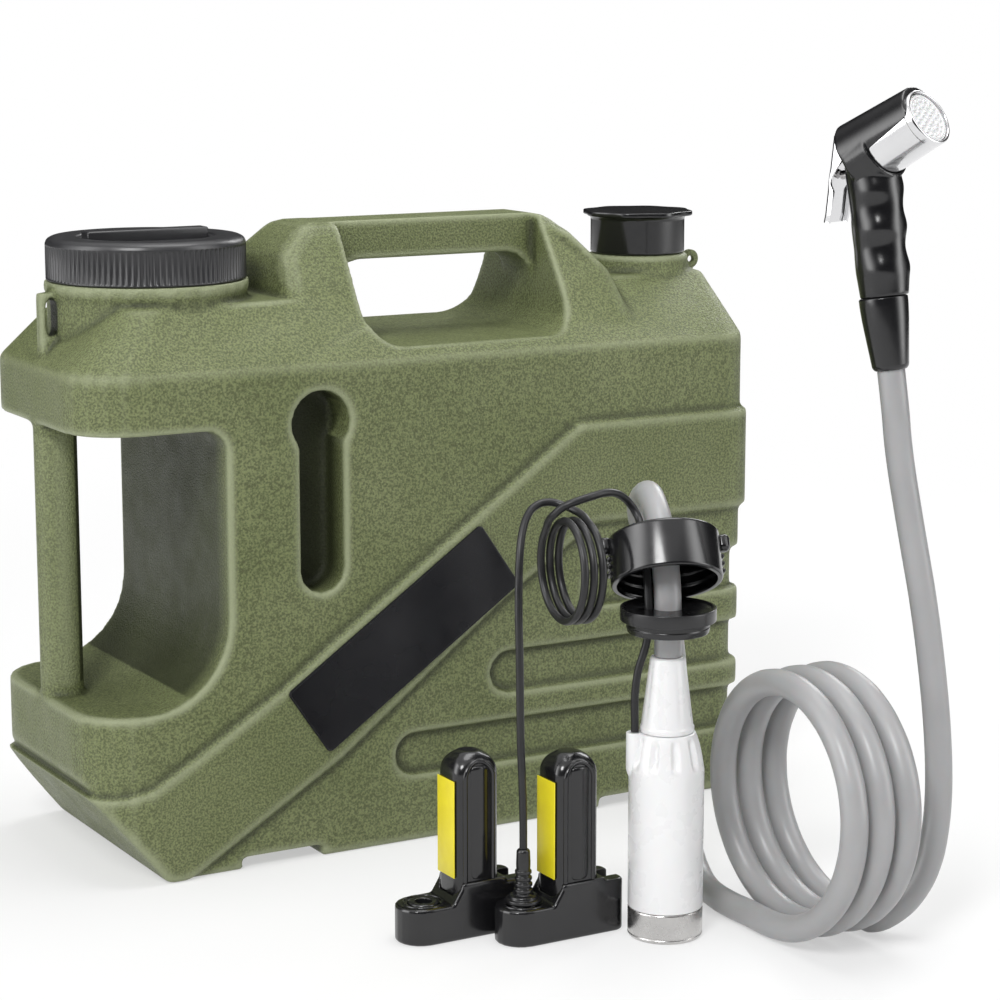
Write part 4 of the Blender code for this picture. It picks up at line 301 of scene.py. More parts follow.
# grains are (kind, scale, strength, depth in millimetres, stretch)
# speckle is (scale, darkest, lightest)
looks = {
    "olivePebble": {
        "color": (0.15, 0.172, 0.078), "otherColor": (0.128, 0.15, 0.062),
        # the lighter edge colour is wear and painted highlight; the near-black one is painted shade in
        # hollows
        "wearAndHighlightColor": (0.3, 0.33, 0.2), "hollowColor": (0.016, 0.019, 0.008),
        "speckle": (820, 0.66, 1.4), "patchScale": 14, "specular": 0.3, "roughness": (0.38, 0.52),
        "glossScale": 60, "grains": (("noise", 900, 0.85, 0.8), ("noise", 1400, 0.4, 0.25)),
    },
    "lidBlack": {
        "color": (0.016, 0.016, 0.018), "otherColor": (0.022, 0.022, 0.024), "patchScale": 40,
        "specular": 0.6, "roughness": (0.3, 0.4), "glossScale": 120,
        "grains": (("noise", 1500, 0.3, 0.1),),
    },
    "satinBlack": {
        "color": (0.01, 0.01, 0.011), "otherColor": (0.014, 0.014, 0.015), "patchScale": 60,
        "specular": 0.55, "roughness": (0.2, 0.28), "glossScale": 150,
        "grains": (("noise", 1100, 0.15, 0.05),),
    },
    "glossBlack": {
        "color": (0.006, 0.006, 0.007), "otherColor": (0.009, 0.009, 0.01), "patchScale": 60,
        "specular": 0.55, "roughness": (0.17, 0.22), "glossScale": 200, "coat": 0.15,
        "coatRoughness": 0.12, "grains": (("noise", 300, 0.05, 0.05),),
    },
    "plateBlack": {
        "color": (0.008, 0.008, 0.01), "otherColor": (0.011, 0.011, 0.013), "patchScale": 30,
        "specular": 0.35, "roughness": (0.16, 0.24), "glossScale": 90,
        "grains": (("noise", 400, 0.06, 0.05),),
    },
    "blackRubber": {
        "color": (0.013, 0.013, 0.014), "otherColor": (0.019, 0.019, 0.02), "patchScale": 60,
        "specular": 0.4, "roughness": (0.32, 0.44), "glossScale": 150,
        "grains": (("noise", 1800, 0.3, 0.08),),
    },
    "pumpWhite": {
        "color": (0.84, 0.84, 0.845), "otherColor": (0.83, 0.83, 0.835), "patchScale": 25,
        "roughness": (0.26, 0.3), "glossScale": 90, "coat": 0.2, "subsurface": 0.05,
        "grains": (("noise", 700, 0.02, 0.06),),
    },
    "brushedSteel": {
        "color": (0.6, 0.59, 0.58), "otherColor": (0.54, 0.53, 0.52), "patchScale": 50, "metallic": 1.0,
        "roughness": (0.2, 0.32), "glossScale": 200,
        "grains": (("noise", 260, 0.02, 0.04, (1, 1, 12)),),
    },
    "polishedChrome": {
        "color": (0.76, 0.76, 0.77), "otherColor": (0.72, 0.72, 0.73), "patchScale": 30,
        "metallic": 1.0, "roughness": (0.08, 0.15), "glossScale": 160,
        "grains": (("noise", 180, 0.04, 0.05),),
    },
    "hoseGrey": {
        "color": (0.37, 0.37, 0.375), "otherColor": (0.345, 0.345, 0.35), "patchScale": 30,
        "roughness": (0.3, 0.4), "glossScale": 90, "subsurface": 0.15,
        "grains": (("noise", 500, 0.1, 0.08),),
    },
    "yellowFilm": {
        "color": (0.86, 0.74, 0.02), "otherColor": (0.8, 0.67, 0.02), "patchScale": 90,
        "roughness": (0.34, 0.46), "glossScale": 200, "grains": (("noise", 1500, 0.15, 0.04),),
    },
    "circuitGreen": {
        "color": (0.03, 0.15, 0.06), "otherColor": (0.04, 0.18, 0.07), "patchScale": 300,
        "roughness": (0.3, 0.45), "glossScale": 300, "grains": (("cells", 700, 0.3, 0.1),),
    },
    "cellWrap": {
        "color": (0.05, 0.12, 0.35), "otherColor": (0.04, 0.1, 0.31), "patchScale": 60,
        "roughness": (0.25, 0.35), "glossScale": 120, "grains": (("noise", 800, 0.1, 0.05),),
    },
}
finishes = {name: newFinish(name, look) for name, look in looks.items()}
print("finishes made")


def newPiece(name, mesh, finish, body, *standsFor):
    piece = newObject(name, mesh)
    mesh.materials.clear()
    mesh.materials.append(finishes[finish])
    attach(piece, body)
    if standsFor:
        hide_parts(*standsFor)
    return piece


def settle(piece):
    # turns the piece's modifiers into its mesh
    bpy.context.view_layer.update()
    graph = bpy.context.evaluated_depsgraph_get()
    mesh = bpy.data.meshes.new_from_object(piece.evaluated_get(graph))
    piece.modifiers.clear()
    piece.data = mesh
    return piece


def dress(names, finish):
    # carried-over nodes get their finish
    for name in names:
        for place in nodes[name].material_slots:
            place.material = finishes[finish]


def closeWork(work, name, place=None, angle=48):
    # a work mesh in millimetres becomes a finished one in metres, smooth but for its sharp corners
    bmesh.ops.recalc_face_normals(work, faces=work.faces)
    mesh = bpy.data.meshes.new(name)
    work.to_mesh(mesh)
    work.free()
    mesh.transform(Matrix.Scale(mm, 4) @ (place or Matrix()))
    mesh.shade_smooth()
    mesh.set_sharp_from_angle(angle=radians(angle))
    return mesh


def softCorners(points, closed=False, steps=4):
    # points are (x, y, cut): a corner is rounded from that far before it to that far after it
    flat = [Vector((point[0], point[1])) for point in points]
    result = []
    for number, point in enumerate(points):
        here, cut = flat[number], point[2] if len(point) > 2 else 0
        if cut == 0 or (not closed and number in (0, len(points) - 1)):
            result.append(here)
            continue
        before, after = flat[number - 1], flat[(number + 1) % len(points)]
        first = here + (before - here).normalized() * min(cut, 0.48 * (before - here).length)
        last = here + (after - here).normalized() * min(cut, 0.48 * (after - here).length)
        for step in range(steps + 1):
            share = step / steps
            result.append(first.lerp(here, share).lerp(here.lerp(last, share), share))
    return [tuple(point) for point in result]


def turn(work, profile, steps, place=None, shape=None):
    # a profile of (radius, height) turned about an upright axis; shape may change both by the angle
    rings = []
    for radius, height in profile:
        ring = []
        for step in range(steps if radius > 1e-6 else 1):
            angle = tau * step / steps
            out, up = shape(radius, height, angle) if shape and radius > 1e-6 else (radius, height)
            spot = Vector((out * cos(angle), out * sin(angle), up))
            ring.append(work.verts.new(place @ spot if place else spot))
        rings.append(ring)
    pairs = list(zip(rings, rings[1:]))
    if len(rings[0]) > 1 and len(rings[-1]) > 1:
        pairs.append((rings[-1], rings[0]))
    for lower, upper in pairs:
        if len(lower) > 1 or len(upper) > 1:
            joinRings(work, lower, upper)


def joinRings(work, lower, upper):
    # faces between two rings of points, either of which may be a single point
    steps = max(len(lower), len(upper))
    for step in range(steps):
        after = (step + 1) % steps
        if len(lower) == 1:
            work.faces.new((lower[0], upper[after], upper[step]))
        elif len(upper) == 1:
            work.faces.new((lower[step], lower[after], upper[0]))
        else:
            work.faces.new((lower[step], lower[after], upper[after], upper[step]))


def workPiece(name, work, place, angle, finish, body, *standsFor):
    return newPiece(name, closeWork(work, name, place, angle), finish, body, *standsFor)


def lathe(name, points, steps, place, *who, closed=False, shape=None, angle=48):
    # one piece turned from a rounded profile; who is its finish, its body and what it stands for
    work = bmesh.new()
    turn(work, softCorners(points, closed), steps, None, shape)
    return workPiece(name, work, place, angle, *who)


def loft(work, rows):
    rings = [[work.verts.new(point) for point in row] for row in rows]
    for lower, upper in zip(rings, rings[1:]):
        joinRings(work, lower, upper)
    work.faces.new(tuple(reversed(rings[0])))
    work.faces.new(tuple(rings[-1]))


def softBox(work, low, high, radius, steps=4):
    middle, size = (Vector(low) + Vector(high)) / 2, Vector(high) - Vector(low)
    made = bmesh.ops.create_cube(work, size=1)["verts"]
    for spot in made:
        spot.co = middle + spot.co * size
    edges = list({edge for spot in made for edge in spot.link_edges})
    bmesh.ops.bevel(work, geom=edges, offset=radius, segments=steps, profile=0.5, affect="EDGES")


def bead(work, path, radius, out, sides=10):
    # a tube along a path that stays near one face; out points away from that face
    rows = []
    for number, point in enumerate(path):
        along = (path[min(len(path) - 1, number + 1)] - path[max(0, number - 1)]).normalized()
        across = along.cross(out).normalized()
        above = across.cross(along)
        rows.append([point + across * x + above * y for x, y in circle(radius, sides)])
    loft(work, rows)


def soften(piece, turns, group=""):
    smooth = piece.modifiers.new("rounding", "SMOOTH")
    smooth.factor = 0.5
    smooth.iterations = turns
    smooth.vertex_group = group


def skin(piece, voxel):
    # remakes the mesh as one even skin
    remesh = piece.modifiers.new("skin", "REMESH")
    remesh.mode = "VOXEL"
    remesh.voxel_size = voxel * mm


def carve(piece, *cutters):
    # cuts closed meshes out of a piece
    tools = []
    for cutter in cutters:
        tool = newObject(cutter.name, cutter)
        cut = piece.modifiers.new(tool.name, "BOOLEAN")
        cut.operation = "DIFFERENCE"
        cut.solver = "EXACT"
        cut.object = tool
        tools.append(tool)
    settle(piece)
    for tool in tools:
        bpy.data.objects.remove(tool)
    return piece


def roundedPlan(left, right, near, far, corner, steps=8):
    points = []
    for x, y, start in ((right, near, -90), (right, far, 0), (left, far, 90), (left, near, 180)):
        cx = x - corner if x == right else x + corner
        cy = y - corner if y == far else y + corner
        for step in range(steps + 1):
            angle = radians(start + 90 * step / steps)
            points.append((cx + corner * cos(angle), cy + corner * sin(angle)))
    return points


pumpPlace = {"x": 17, "y": -289.5, "noseTop": 152.3}
bendSettings = {"radius": 60, "startHeight": 168, "heading": 21.9}
pumpAxis = Vector((pumpPlace["x"], pumpPlace["y"], 0))
pumpStand = Matrix.Translation(pumpAxis)
bendHeading = radians(bendSettings["heading"])
bendBack = Vector((sin(bendHeading), cos(bendHeading), 0))
bendLeft = Vector((-bendBack.y, bendBack.x, 0))


def bendPoint(angle, left=0.0):
    # a point in millimetres on the hose's bend over the pump, angle in degrees from straight up
    turned = radians(angle)
    back = bendSettings["radius"] * (1 - cos(turned))
    height = bendSettings["startHeight"] + bendSettings["radius"] * sin(turned)
    return pumpAxis + bendBack * back + bendLeft * left + up * height


def smoothRoute(controls, spacing, startHeading, endHeading, lead):
    # evenly spaced points on one smooth curve through the given ones, straight at both ends
    start, *between, end = [Vector(point) for point in controls]
    controls = [start + startHeading * lead, *between, end - endHeading * lead]
    headings = []
    for number in range(len(controls)):
        before = controls[max(0, number - 1)]
        after = controls[min(len(controls) - 1, number + 1)]
        headings.append((after - before).normalized())
    headings[0] = startHeading
    headings[-1] = endHeading
    fine = []
    for number in range(len(controls) - 1):
        first, second = controls[number], controls[number + 1]
        reach = (second - first).length / 3
        knots = (first, first + headings[number] * reach, second - headings[number + 1] * reach, second)
        fine += interpolate_bezier(*knots, 40)[:-1]
    fine.append(controls[-1])
    length = sum((second - first).length for first, second in zip(fine, fine[1:]))
    count = max(2, round(length / spacing))
    points, walked, target = [fine[0]], 0.0, length / count
    for first, second in zip(fine, fine[1:]):
        step = (second - first).length
        while walked + step >= target and len(points) < count:
            points.append(first.lerp(second, (target - walked) / step))
            target += length / count
        walked += step
    return [start, *points, fine[-1], end]


def makeCord(name, points, radius, sides, finish, standsFor):
    # one open curve with smooth handles through the points, given in millimetres
    curve = bpy.data.curves.new(name, "CURVE")
    curve.dimensions = "3D"
    curve.bevel_depth = radius * mm
    curve.bevel_resolution = sides
    curve.resolution_u = 6
    curve.use_fill_caps = True
    spline = curve.splines.new("BEZIER")
    spline.bezier_points.add(len(points) - 1)
    for spot, point in zip(spline.bezier_points, points):
        spot.co = point * mm
        spot.handle_left_type = "AUTO"
        spot.handle_right_type = "AUTO"
    return newPiece(name, curve, finish, "kit", *standsFor)


def routeLength(points):
    return sum((second - first).length for first, second in zip(points, points[1:])) * mm


hoseRoute = {
    "radius": 7.3,
    "drawnRadius": 7.2,  # keeps the coil on the floor, not in it
    "step": 16, "lead": 6,
    "behind": ((58.5, -197, 209), (75.5, -184, 181), (88, -181, 146), (93, -182, 110), (92, -186, 75)),
    "floor": ((87, -200, 40), (79, -221, 18), (70, -246, 8.6), (63, -270, 7.6), (61.4, -290, 7.5)),
    "rise": ((116, -351, 11), (123, -358, 19), (131.5, -363, 34), (137, -364, 52), (140, -363.5, 75)),
    "climb": (
        (140, -362, 104), (138, -359, 138), (132.5, -356, 180), (126, -352, 220), (120, -348.6, 258),
    ),
    "coilStart": (62, -323.4), "coilRadius": 64.7, "coilPitch": 17, "coilTurns": 3,
    "loopPoints": 24, "nut": (115, -346, 303), "nutLean": (-0.04725, 0.15454, 0.98686),
}


def hosePoints():
    # pump, over and down behind it, three turns on the floor, then up to the handset
    route = named(hoseRoute)
    x, y = route.coilStart
    coil = []
    for step in range(route.coilTurns * route.loopPoints + 1):
        angle = tau * step / route.loopPoints
        across = y - route.coilRadius * sin(angle)
        height = route.radius + 0.2 + route.coilRadius * (1 - cos(angle))
        coil.append(Vector((x + route.coilPitch * step / route.loopPoints, across, height)))
    lead = Vector((0, 2 * route.radius, 0))
    coil = [coil[0] + lead, *coil, coil[-1] - lead]
    start = pumpAxis + up * pumpPlace["noseTop"]
    bend = [bendPoint(angle) for angle in (0, 15, 30, 45, 60, 75, 90)]
    straight = Vector((0, -1, 0))
    feed = [start, *bend, *route.behind, *route.floor, coil[0]]
    feed = smoothRoute(feed, route.step, up, straight, route.lead)
    lean = Vector(route.nutLean)
    nut = Vector(route.nut)
    riser = [coil[-1], *route.rise, *route.climb, nut - lean * 18, nut]
    riser = smoothRoute(riser, route.step, straight, lean, route.lead)
    return [*feed[:-1], *coil, *riser[1:]]


cableRoute = {
    "radius": 2.1, "step": 8, "lead": 3, "left": 10.3, "plugTop": (-53.5, -260.4, 50.3),
    "rise": (
        (-53.8, -260.5, 75), (-55, -260, 110), (-55, -259, 150), (-54, -256, 180), (-50.5, -251, 205),
    ),
    "top": ((-45, -245.5, 219), (-37, -241.5, 228), (-27, -242.5, 230.5), (-20, -249, 228)),
    "outOfCoil": (
        (-30.7, -253, 226), (-27.5, -257.5, 230.5), (-20.5, -260.5, 233.5), (-10.5, -261, 235.5),
    ),
    "toDome": ((-1.2, -259.5, 236), (7, -256.5, 233.5), (14, -254, 229), (18, -255, 223.5)),
    "beside": ((10.7, 163), (12.6, 155), (15.6, 145), (17.2, 133), (17.4, 122), (17.2, 111.8)),
    "coilCentre": (-25.2, -262, 197), "coilRadius": 26.2,
    "coilPitch": 5.1, "coilTurn": -8, "coilAngles": (10, 315 + 720), "loopPoints": 24,
}


def cablePoints():
    # pump's boss, up and over through the collar, the small coil, then down to the plug
    route = named(cableRoute)
    turned = radians(route.coilTurn)
    axis = Vector((cos(turned), sin(turned), 0))
    toward = Vector((axis.y, -axis.x, 0))
    start, end = (radians(angle) for angle in route.coilAngles)
    count = round(route.loopPoints * (end - start) / tau)
    reach = route.coilPitch * (end - start) / tau
    coil = []
    for step in range(count + 1):
        share = step / count
        angle = start + (end - start) * share
        around = up * cos(angle) + toward * sin(angle)
        coil.append(Vector(route.coilCentre) + around * route.coilRadius + axis * reach * (0.5 - share))
    intoCoil = (coil[1] - coil[0]).normalized()
    outOfCoil = (coil[-1] - coil[-2]).normalized()
    coil = [coil[0] - intoCoil * 2 * route.radius, *coil, coil[-1] + outOfCoil * 2 * route.radius]
    lower = [route.plugTop, *route.rise, *route.top, coil[0]]
    lower = smoothRoute(lower, route.step, up, intoCoil, route.lead)
    bend = [bendPoint(angle, route.left) for angle in (57, 47, 37, 27, 17, 8, 0)]
    beside = [pumpAxis + bendLeft * left + up * height for left, height in route.beside]
    upper = [coil[-1], *route.outOfCoil, *route.toDome, *bend, *beside]
    upper = smoothRoute(upper, route.step, outOfCoil, -up, route.lead)
    return list(reversed([*lower[:-1], *coil, *upper[1:]]))


hoseLine = hosePoints()
hoseParts = ("hose_feed", "hose_coil", "hose_riser")
hoseCord = makeCord("hose", hoseLine, hoseRoute["drawnRadius"], 8, "hoseGrey", hoseParts)
cableLine = cablePoints()
cableParts = ("cable_lower", "cable_coil", "cable_upper")
cableCord = makeCord("cable", cableLine, cableRoute["radius"], 5, "blackRubber", cableParts)
print("hose", round(routeLength(hoseLine), 3), "m, cable", round(routeLength(cableLine), 3), "m")


plugSettings = {
    "place": (-53.5, -260.4, 0), "seat": 21.1, "top": 50, "flange": 9.6, "ribs": 4,
    "ribProud": 0.8,
}


def makePlug():
    # stepped rings on the socket, then a tapered boot with ribs round it
    seat, top, flange = plugSettings["seat"], plugSettings["top"], plugSettings["flange"]
    points = [(0, seat - 5, 0), (4.2, seat - 5, 0.3), (4.2, seat, 0), (flange, seat, 0.4)]
    points += [(flange, seat + 1.9, 0.6), (7.9, seat + 2.1, 0.4), (7.7, seat + 3.7, 0.7)]
    points += [(5.4, seat + 4.0, 0.6)]
    for rib in range(plugSettings["ribs"]):
        height = seat + 6.2 + 3.4 * rib
        radius = 5.1 - 0.22 * rib
        groove = radius - plugSettings["ribProud"]
        points += [(groove, height - 1.1, 0.3), (radius, height - 0.8, 0.4)]
        points += [(radius, height + 0.8, 0.4), (groove, height + 1.1, 0.3)]
    points += [(3.9, top - 8.5, 2), (3.6, top - 1, 0.8), (2.6, top, 0.4), (0, top, 0)]
    place = Matrix.Translation(plugSettings["place"])
    return lathe("cablePlug", points, 64, place, "satinBlack", "kit", "cable_plug")


cablePlug = makePlug()
print("hose, cable and plug made")


tankSettings = {
    "voxel": 1.8, "smoothTurns": 4,
    "neckHeight": 330,  # the necks above this keep their edges
    "eyeletFrom": 215.5,  # and so does the eyelet to the right of this
    "wornReach": 3, "edgeGain": 5.0, "edgeFrom": 0.15, "wornMost": 0.9, "hollowMost": 0.7,
    # the keyhole and the opening behind the upright: corners, and how much painted shade they get
    # inwards
    "shadeBoxes": (
        ((-108, -78, 154), (-65, -50, 275), 0.9),
        ((-202, -78, 104), (-130, 78, 252), 0.8),
    ),
    "shadeReach": 16,
    # the strap slot's floor is painted fully in shade
    "slotBox": ((-213.3, -4.9, 303.6), (-206.8, 4.9, 325.4)),  # deep in the strap slot
}


def spreadOver(ends, count, values, turns):
    # each value becomes the mean of its neighbours' values, a few times over
    degree = np.zeros(count)
    np.add.at(degree, ends[:, 0], 1)
    np.add.at(degree, ends[:, 1], 1)
    degree = np.maximum(degree, 1)
    for _ in range(turns):
        total = np.zeros_like(values)
        np.add.at(total, ends[:, 0], values[ends[:, 1]])
        np.add.at(total, ends[:, 1], values[ends[:, 0]])
        values = total / (degree[:, None] if values.ndim > 1 else degree)
    return values


def readRows(items, key, width, kind=float):
    rows = np.empty(len(items) * width, kind)
    items.foreach_get(key, rows)
    return rows.reshape(-1, width)


def within(spots, low, high):
    return ((spots > np.array(low) * mm) & (spots < np.array(high) * mm)).all(axis=1)


def markEdges(mesh, spacing):
    # two attributes for the finish: how much an outward edge is lightened, as wear and painted
    # highlight, and how much painted shade a point gets in corners and hollows
    s = named(tankSettings)
    spots = readRows(mesh.vertices, "co", 3)
    normals = readRows(mesh.vertices, "normal", 3)
    ends = readRows(mesh.edges, "vertices", 2, np.int32)
    flat = spreadOver(ends, len(spots), spots, s.wornReach)
    bulge = ((spots - flat) * normals).sum(axis=1) / spacing
    bulge = spreadOver(ends, len(spots), bulge, 1) * s.edgeGain
    # outward edges lighter in the colour: partly wear, partly painted highlight
    wearAndHighlight = np.clip(bulge - s.edgeFrom, 0, s.wornMost)
    # painted shade: creases, the strap slot and the listed boxes are darker in the colour, where shade
    # falls
    hollow = np.clip(-bulge - s.edgeFrom, 0, s.hollowMost)
    hollow[within(spots, *s.slotBox)] = 1
    for low, high, most in s.shadeBoxes:
        inside = within(spots, low, high)
        depth = np.clip((spots[:, 1] / mm - low[1]) / s.shadeReach, 0, 1) * most
        hollow[inside] = np.maximum(hollow, depth)[inside]
    for name, values in (("wearAndHighlight", wearAndHighlight), ("hollow", hollow)):
        mesh.attributes.new(name, "FLOAT", "POINT").data.foreach_set("value", values.astype(np.float32))


def makeTank():
    # the can's own solid with its edges rounded as blow moulding leaves them
    s = named(tankSettings)
    tank = newPiece("tankBody", nodes["tank_shell"].data.copy(), "olivePebble", "kit", "tank_shell")
    skin(tank, s.voxel)
    settle(tank)
    group = tank.vertex_groups.new(name="soft")
    spots = readRows(tank.data.vertices, "co", 3)
    soft = (spots[:, 2] < s.neckHeight * mm) & (spots[:, 0] < s.eyeletFrom * mm)
    group.add([int(number) for number in np.nonzero(soft)[0]], 1.0, "REPLACE")
    soften(tank, s.smoothTurns, "soft")
    soften(tank, 1)
    settle(tank)
    tank.data.shade_smooth()
    markEdges(tank.data, s.voxel * mm)
    return tank


makeTank()

eyeletSettings = {
    "x": 221.5, "z": 326.5, "half": 1.6, "steps": 40,
    # radius, and place as a share of half the thickness
    "rings": (
        (5.4, -1), (5.9, -0.75), (5.9, 0.75), (5.4, 1),
        (2.4, 1), (2.1, 0.75), (2.1, -0.75), (2.4, -1),
    ),
    "rootLow": (209, 312.5), "rootHigh": (218.9, 324), "rootSoft": 0.5,
}


def makeEyelet():
    # the flat ear at the right end with its small hole
    s = named(eyeletSettings)
    work = bmesh.new()
    rings = []
    for radius, share in s.rings:
        spots = [(s.x + x, share * s.half, s.z + z) for x, z in circle(radius, s.steps)]
        rings.append([work.verts.new(spot) for spot in spots])
    for lower, upper in zip(rings, [*rings[1:], rings[0]]):
        joinRings(work, lower, upper)
    low, high = ((x, side * s.half, z) for side, (x, z) in ((-1, s.rootLow), (1, s.rootHigh)))
    softBox(work, low, high, s.rootSoft)
    return workPiece("capEyelet", work, None, 48, "olivePebble", "kit")


makeEyelet()
print("water can made")


plateSettings = {
    "length": 153, "height": 46.5, "corner": 3, "thickness": 1.0, "rim": 0.9, "sunk": 0.22,
    "centre": (-29.8, -84.8, 125.2), "lean": 34.3,
}


def makePlate():
    # a moulded plate: low raised rim round a smooth sunk field, left bare
    s = named(plateSettings)
    work = bmesh.new()
    rows = []
    half, tall, deep = s.length / 2, s.height / 2, s.thickness / 2
    outline = ((0, -deep), (0, deep - 0.25), (0.1, deep - 0.08), (0.3, deep), (s.rim, deep))
    outline += ((s.rim + 0.15, deep - 0.06), (s.rim + 0.3, deep - s.sunk))
    for inset, height in outline:
        corner = max(0.4, s.corner - inset)
        plan = roundedPlan(-half + inset, half - inset, -tall + inset, tall - inset, corner, 6)
        rows.append([Vector((x, y, height)) for x, y in plan])
    loft(work, rows)
    upright = Matrix(((1, 0, 0, 0), (0, 0, -1, 0), (0, 1, 0, 0), (0, 0, 0, 1)))
    place = Matrix.Translation(s.centre) @ upright @ Matrix.Rotation(radians(s.lean), 4, "Z")
    return workPiece("labelPlate", work, place, 30, "plateBlack", "kit", "label_plate")


makePlate()


lidSettings = {
    "centre": (-151, 0, 0), "low": 333.3, "top": 358.0, "radius": 57, "inner": 52.4,
    "innerTop": 352.2, "recess": 39.5, "ribs": 104, "ribDepth": 1.0, "barLength": 74,
    "barWidth": 11, "barRise": 3.5,
}


def makeLid():
    s = named(lidSettings)
    low, top, radius, recess = s.low, s.top, s.radius, s.recess
    points = [
        (0, top - 2.9, 0),
        (recess - 3.4, top - 3.0, 0.6),
        (recess - 2.6, top - 1.5, 0.6),
        (recess - 0.7, top - 1.3, 0.6),
        (recess + 0.3, top - 0.1, 0.7),
        (radius - 4.2, top, 1.6),
        (radius - 0.9, top - 1.7, 1.6),
        (radius, top - 4.2, 0.6),
    ]
    points += [(radius, height, 0) for height in (top - 5.2, top - 6, low + 2, low + 1.2)]
    points += [(radius, low + 0.6, 0.3), (radius - 0.7, low, 0.3), (s.inner, low, 0.3)]
    points += [(s.inner, s.innerTop, 0.5), (0, s.innerTop, 0)]

    def ribs(out, height, angle):
        if out < radius - 0.2:
            return out, height
        share = easeBetween(low + 0.9, low + 2, height) * easeBetween(top - 4.2, top - 6, height)
        return out - s.ribDepth * share * (0.5 + 0.5 * cos(s.ribs * angle)), height

    work = bmesh.new()
    turn(work, softCorners(points), s.ribs * 6, None, ribs)
    half, wide = s.barLength / 2, s.barWidth / 2
    softBox(work, (-half, -wide, top - 4), (half, wide, top + s.barRise), 1.3)
    return workPiece("lidCover", work, Matrix.Translation(s.centre), 60, "lidBlack", "lid", "lid")


makeLid()
print("label plate and lid made")


capSettings = {
    "place": (182, 0, 332.8), "radius": 29.5, "inner": 26.5, "height": 26, "under": 22.8,
    "flange": 33.6, "waves": 8, "waveDepth": 1.2, "threadProud": 0.9, "threadPitch": 6,
}


def capInside(points):
    # the bored inside, sampled closely enough for its thread
    inner, under = capSettings["inner"], capSettings["under"]
    points += [(28.9, 0, 0.5), (inner, 0, 0.3)]
    points += [(inner, 1 + 0.75 * step, 0) for step in range(26)]
    return points + [(inner, under, 0)]


def capShape(out, height, angle):
    s = named(capSettings)
    if out > 31:
        return out + s.waveDepth * cos(s.waves * angle), height
    if abs(out - s.inner) < 0.05 and 0.9 < height < 20:
        phase = tau * height / s.threadPitch - angle
        return out - s.threadProud * max(0.0, cos(phase)) ** 2, height
    return out, height


def makeSpoutCap():
    s = named(capSettings)
    points = [
        (0, 25.7, 0),
        (23, 25.8, 2),
        (29, 26.4, 1),
        (s.flange, 26.4, 0.8),
        (s.flange, 23.5, 0.8),
        (30.6, 23.2, 0.8),
        (s.radius, 21.6, 0.8),
        (s.radius, 1, 0.5),
    ]
    points = capInside(points) + [(0, s.under, 0)]
    place = Matrix.Translation(s.place)
    who = ("glossBlack", "spout_cap", "spout_cap")
    return lathe("spoutCap", points, 128, place, *who, shape=capShape, angle=60)


makeSpoutCap()


collarSettings = {
    "tilt": 32, "middle": 0.43, "bore": 16.8, "earRadius": 4, "earOut": 31.5,
    "bumps": (5.5, 9.5, 13.5), "domeTop": 32.3, "holeRoom": 0.7,
}


def collarPlace():
    tilt = radians(collarSettings["tilt"])
    along = bendBack * sin(tilt) + up * cos(tilt)
    right = -bendLeft
    deep = along.cross(right)
    place = bendPoint(collarSettings["tilt"]) - along * capSettings["height"] * collarSettings["middle"]
    return Matrix.Translation(place) @ Matrix((right, deep, along)).transposed().to_4x4()


def makeCollar():
    # the same cap bored through, with two ears at its top and small grip bumps under them
    s = named(collarSettings)
    radius = capSettings["radius"]
    points = [(s.bore, 26, 0.6), (28.6, 26, 1.0), (radius, 24.8, 0.8), (radius, 1, 0.5)]
    points = capInside(points) + [(s.bore, capSettings["under"], 0.3)]
    work = bmesh.new()
    turn(work, softCorners(points, True), 128, None, capShape)
    for side in (-1, 1):
        ear = Matrix.Translation((side * s.earOut, 0, 0))
        stud = [(0, 16.6, 0), (2.6, 16.8, 1), (s.earRadius, 18.6, 1), (s.earRadius, 24.2, 0.8)]
        stud += [(3.1, 25.4, 0.6), (1.9, 25.2, 0.4), (1.5, 24.2, 0.4), (0, 24.2, 0)]
        turn(work, softCorners(stud), 32, ear)
        for height in s.bumps:
            low = (side * 30.1 - 1.2, -3.2, height - 1.2)
            high = (side * 30.1 + 1.2, 3.2, height + 1.2)
            softBox(work, low, high, 0.9)
    return workPiece("hoseCollar", work, collarPlace(), 60, "glossBlack", "collar", "collar")


def cutWays(piece):
    # lets hose and cable through a rubber piece
    ways = (("hoseWay", 0, hoseRoute["radius"]), ("cableWay", cableRoute["left"], cableRoute["radius"]))
    cutters = []
    for name, left, radius in ways:
        path = [bendPoint(angle, left) for angle in range(-12, 84, 6)]
        path = [point for point in path if point.z > bendSettings["startHeight"]]
        path = [path[0] - up * 30, path[0] - up * 15, *path]
        work = bmesh.new()
        bead(work, path, radius + collarSettings["holeRoom"], bendLeft, 32)
        cutters.append(closeWork(work, name))
    return carve(piece, *cutters)


def makeGrommet():
    top = collarSettings["domeTop"]
    points = [(0, top, 0), (9.6, top, 1.6), (11.6, top - 2.4, 1.5), (12.6, top - 4.6, 1.2)]
    points += [(14, 26.7, 1), (16.3, 26.3, 0.3), (16.4, 22.5, 0), (21, 22.5, 0.3)]
    points += [(21, 20.8, 0.3), (0, 20.8, 0)]
    who = ("satinBlack", "kit", "collar_grommet")
    return cutWays(lathe("collarSeal", points, 72, collarPlace(), *who))


stopperSettings = {
    "low": 165.1, "step": 171.6, "top": 178.6, "lowRadius": 22, "radius": 25.3, "rim": 1.6,
    "dish": 1.0,
}


